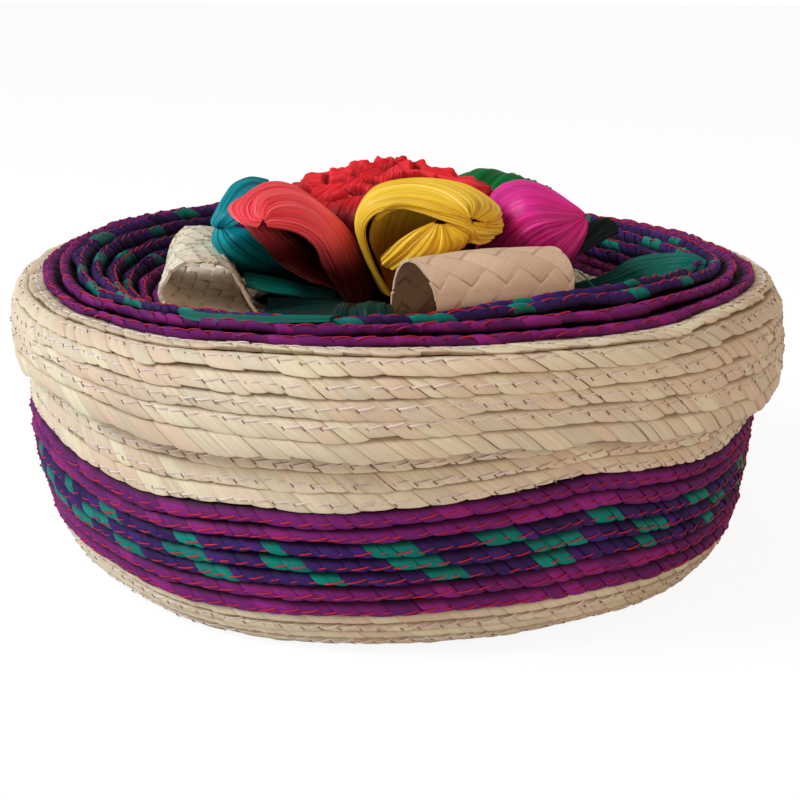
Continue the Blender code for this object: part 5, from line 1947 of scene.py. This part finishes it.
# How much of the floor's white the camera sees, and how bright that is
FLOOR_GLOW = 0.82
PAPER_WHITE = 1.1
SKY_TINT = (1.0, 0.91, 0.84)
# Place, size and colour of the two lights, and the height that they are aimed at, in metres
WINDOW = ((-1.05, -0.36, 0.92), (0.6, 0.6), (0.89, 0.98, 1.06))
WALL = ((0.75, -0.95, 0.45), (0.9, 0.6), (1.0, 0.68, 0.49))
LIGHT_AIM = Vector((0, 0, 0.07))


def stage_material():
    """A pale surface that shows white to the camera and keeps the object's shadow."""
    made, tree, _ = new_material("stage_paper")
    tree.tree.nodes.clear()
    seen = tree.add("ShaderNodeLightPath").outputs["Is Camera Ray"]
    grain = tree.noise(tree.add("ShaderNodeTexCoord").outputs["Object"], 90.0)
    shaded = tuple(value * 0.97 for value in FLOOR_COLOUR)
    shade = tree.mix(grain, (*FLOOR_COLOUR, 1), (*shaded, 1))
    paper = tree.add("ShaderNodeBsdfDiffuse", {"Color": shade})
    white = tree.add("ShaderNodeEmission", {"Color": (1, 1, 1, 1), "Strength": PAPER_WHITE})
    both = tree.add("ShaderNodeMixShader", {0: tree.math("MULTIPLY", seen, FLOOR_GLOW)})
    tree.put(both.inputs[1], paper.outputs[0])
    tree.put(both.inputs[2], white.outputs[0])
    tree.put(tree.add("ShaderNodeOutputMaterial").inputs["Surface"], both.outputs[0])
    return made


def area_light(name, place, size, colour, power):
    """A soft rectangular light aimed at the basket."""
    data = bpy.data.lights.new(name, "AREA")
    data.shape = "RECTANGLE"
    data.size, data.size_y = size
    data.energy = power
    data.color = colour
    lamp = placed(name, data)
    lamp.location = place
    lamp.rotation_euler = (LIGHT_AIM - Vector(place)).to_track_quat("-Z", "Y").to_euler()


class BASKET_OT_stage(bpy.types.Operator):
    """Lay the floor and set the light, the white surroundings and the camera"""

    bl_idname = "object.basket_stage"
    bl_label = "Stage"

    def execute(self, context):
        settings = context.scene.basket_stage
        scene = context.scene
        corners = [(-FLOOR_HALF, -FLOOR_HALF, 0), (FLOOR_HALF, -FLOOR_HALF, 0)]
        corners += [(FLOOR_HALF, FLOOR_HALF, 0), (-FLOOR_HALF, FLOOR_HALF, 0)]
        mesh = bpy.data.meshes.new("floor")
        mesh.from_pydata(corners, [], [(0, 1, 2, 3)])
        mesh.materials.append(stage_material())
        placed("floor", mesh)

        world = bpy.data.worlds.new("surroundings")
        world.use_nodes = True
        scene.world = world
        tree = Tree(world.node_tree)
        tree.tree.nodes.clear()
        seen = tree.add("ShaderNodeLightPath").outputs["Is Camera Ray"]
        strength = tree.math("MULTIPLY_ADD", seen, 1 - settings.sky_strength, settings.sky_strength)
        air = tree.mix(seen, (*SKY_TINT, 1), (1, 1, 1, 1))
        sky = tree.add("ShaderNodeBackground", {"Color": air, "Strength": strength})
        out = tree.add("ShaderNodeOutputWorld")
        tree.put(out.inputs["Surface"], sky.outputs[0])

        area_light("window", *WINDOW, settings.key_power)
        area_light("wall", *WALL, settings.fill_power)

        data = bpy.data.cameras.new("camera")
        data.sensor_fit = "HORIZONTAL"
        data.sensor_width = 36.0
        data.lens = data.sensor_width * PHOTO_FOCAL / PHOTO_SIZE
        data.clip_start, data.clip_end = 0.01, 20
        camera = placed("camera", data)
        right, up, ahead = camera_axes()
        axes = Matrix((right, up, -ahead)).transposed()
        camera.matrix_world = Matrix.Translation(Vector(CAMERA_PLACE) * MM) @ axes.to_4x4()
        scene.camera = camera
        scene.view_settings.view_transform = "Standard"
        return {"FINISHED"}


class BASKET_PT_panel(bpy.types.Panel):
    """The steps that dress the basket"""

    bl_idname = "BASKET_PT_panel"
    bl_label = "Tortilla Basket"
    bl_space_type = "VIEW_3D"
    bl_region_type = "UI"
    bl_category = "Basket"

    def draw(self, context):
        column = self.layout.column()
        for name, _ in SETTINGS:
            settings = getattr(context.scene, name)
            for key in settings.bl_rna.properties.keys():
                if key not in ("rna_type", "name"):
                    column.prop(settings, key)
        for operator in OPERATORS:
            column.operator(operator.bl_idname)


SETTINGS = (
    ("basket_braid", BraidSettings),
    ("basket_colours", PalmColours),
    ("basket_stage", StageSettings),
)
OPERATORS = (
    BASKET_OT_body_braid,
    BASKET_OT_lid_braid,
    BASKET_OT_stitches,
    BASKET_OT_petals,
    BASKET_OT_flower,
    BASKET_OT_bands,
    BASKET_OT_leaves,
    BASKET_OT_knot,
    BASKET_OT_threads,
    BASKET_OT_stage,
)


def register():
    for name, group in SETTINGS:
        bpy.utils.register_class(group)
        setattr(bpy.types.Scene, name, bpy.props.PointerProperty(type=group))
    for operator in OPERATORS:
        bpy.utils.register_class(operator)
    bpy.utils.register_class(BASKET_PT_panel)


def unregister():
    bpy.utils.unregister_class(BASKET_PT_panel)
    for operator in reversed(OPERATORS):
        bpy.utils.unregister_class(operator)
    for name, group in reversed(SETTINGS):
        delattr(bpy.types.Scene, name)
        bpy.utils.unregister_class(group)


def main():
    register()
    bpy.ops.object.basket_body_braid()
    bpy.ops.object.basket_lid_braid()
    bpy.ops.object.basket_stitches()
    bpy.ops.object.basket_petals()
    bpy.ops.object.basket_flower()
    bpy.ops.object.basket_bands()
    bpy.ops.object.basket_leaves()
    bpy.ops.object.basket_knot()
    bpy.ops.object.basket_threads()
    bpy.ops.object.basket_stage()


if __name__ == "__main__":
    main()
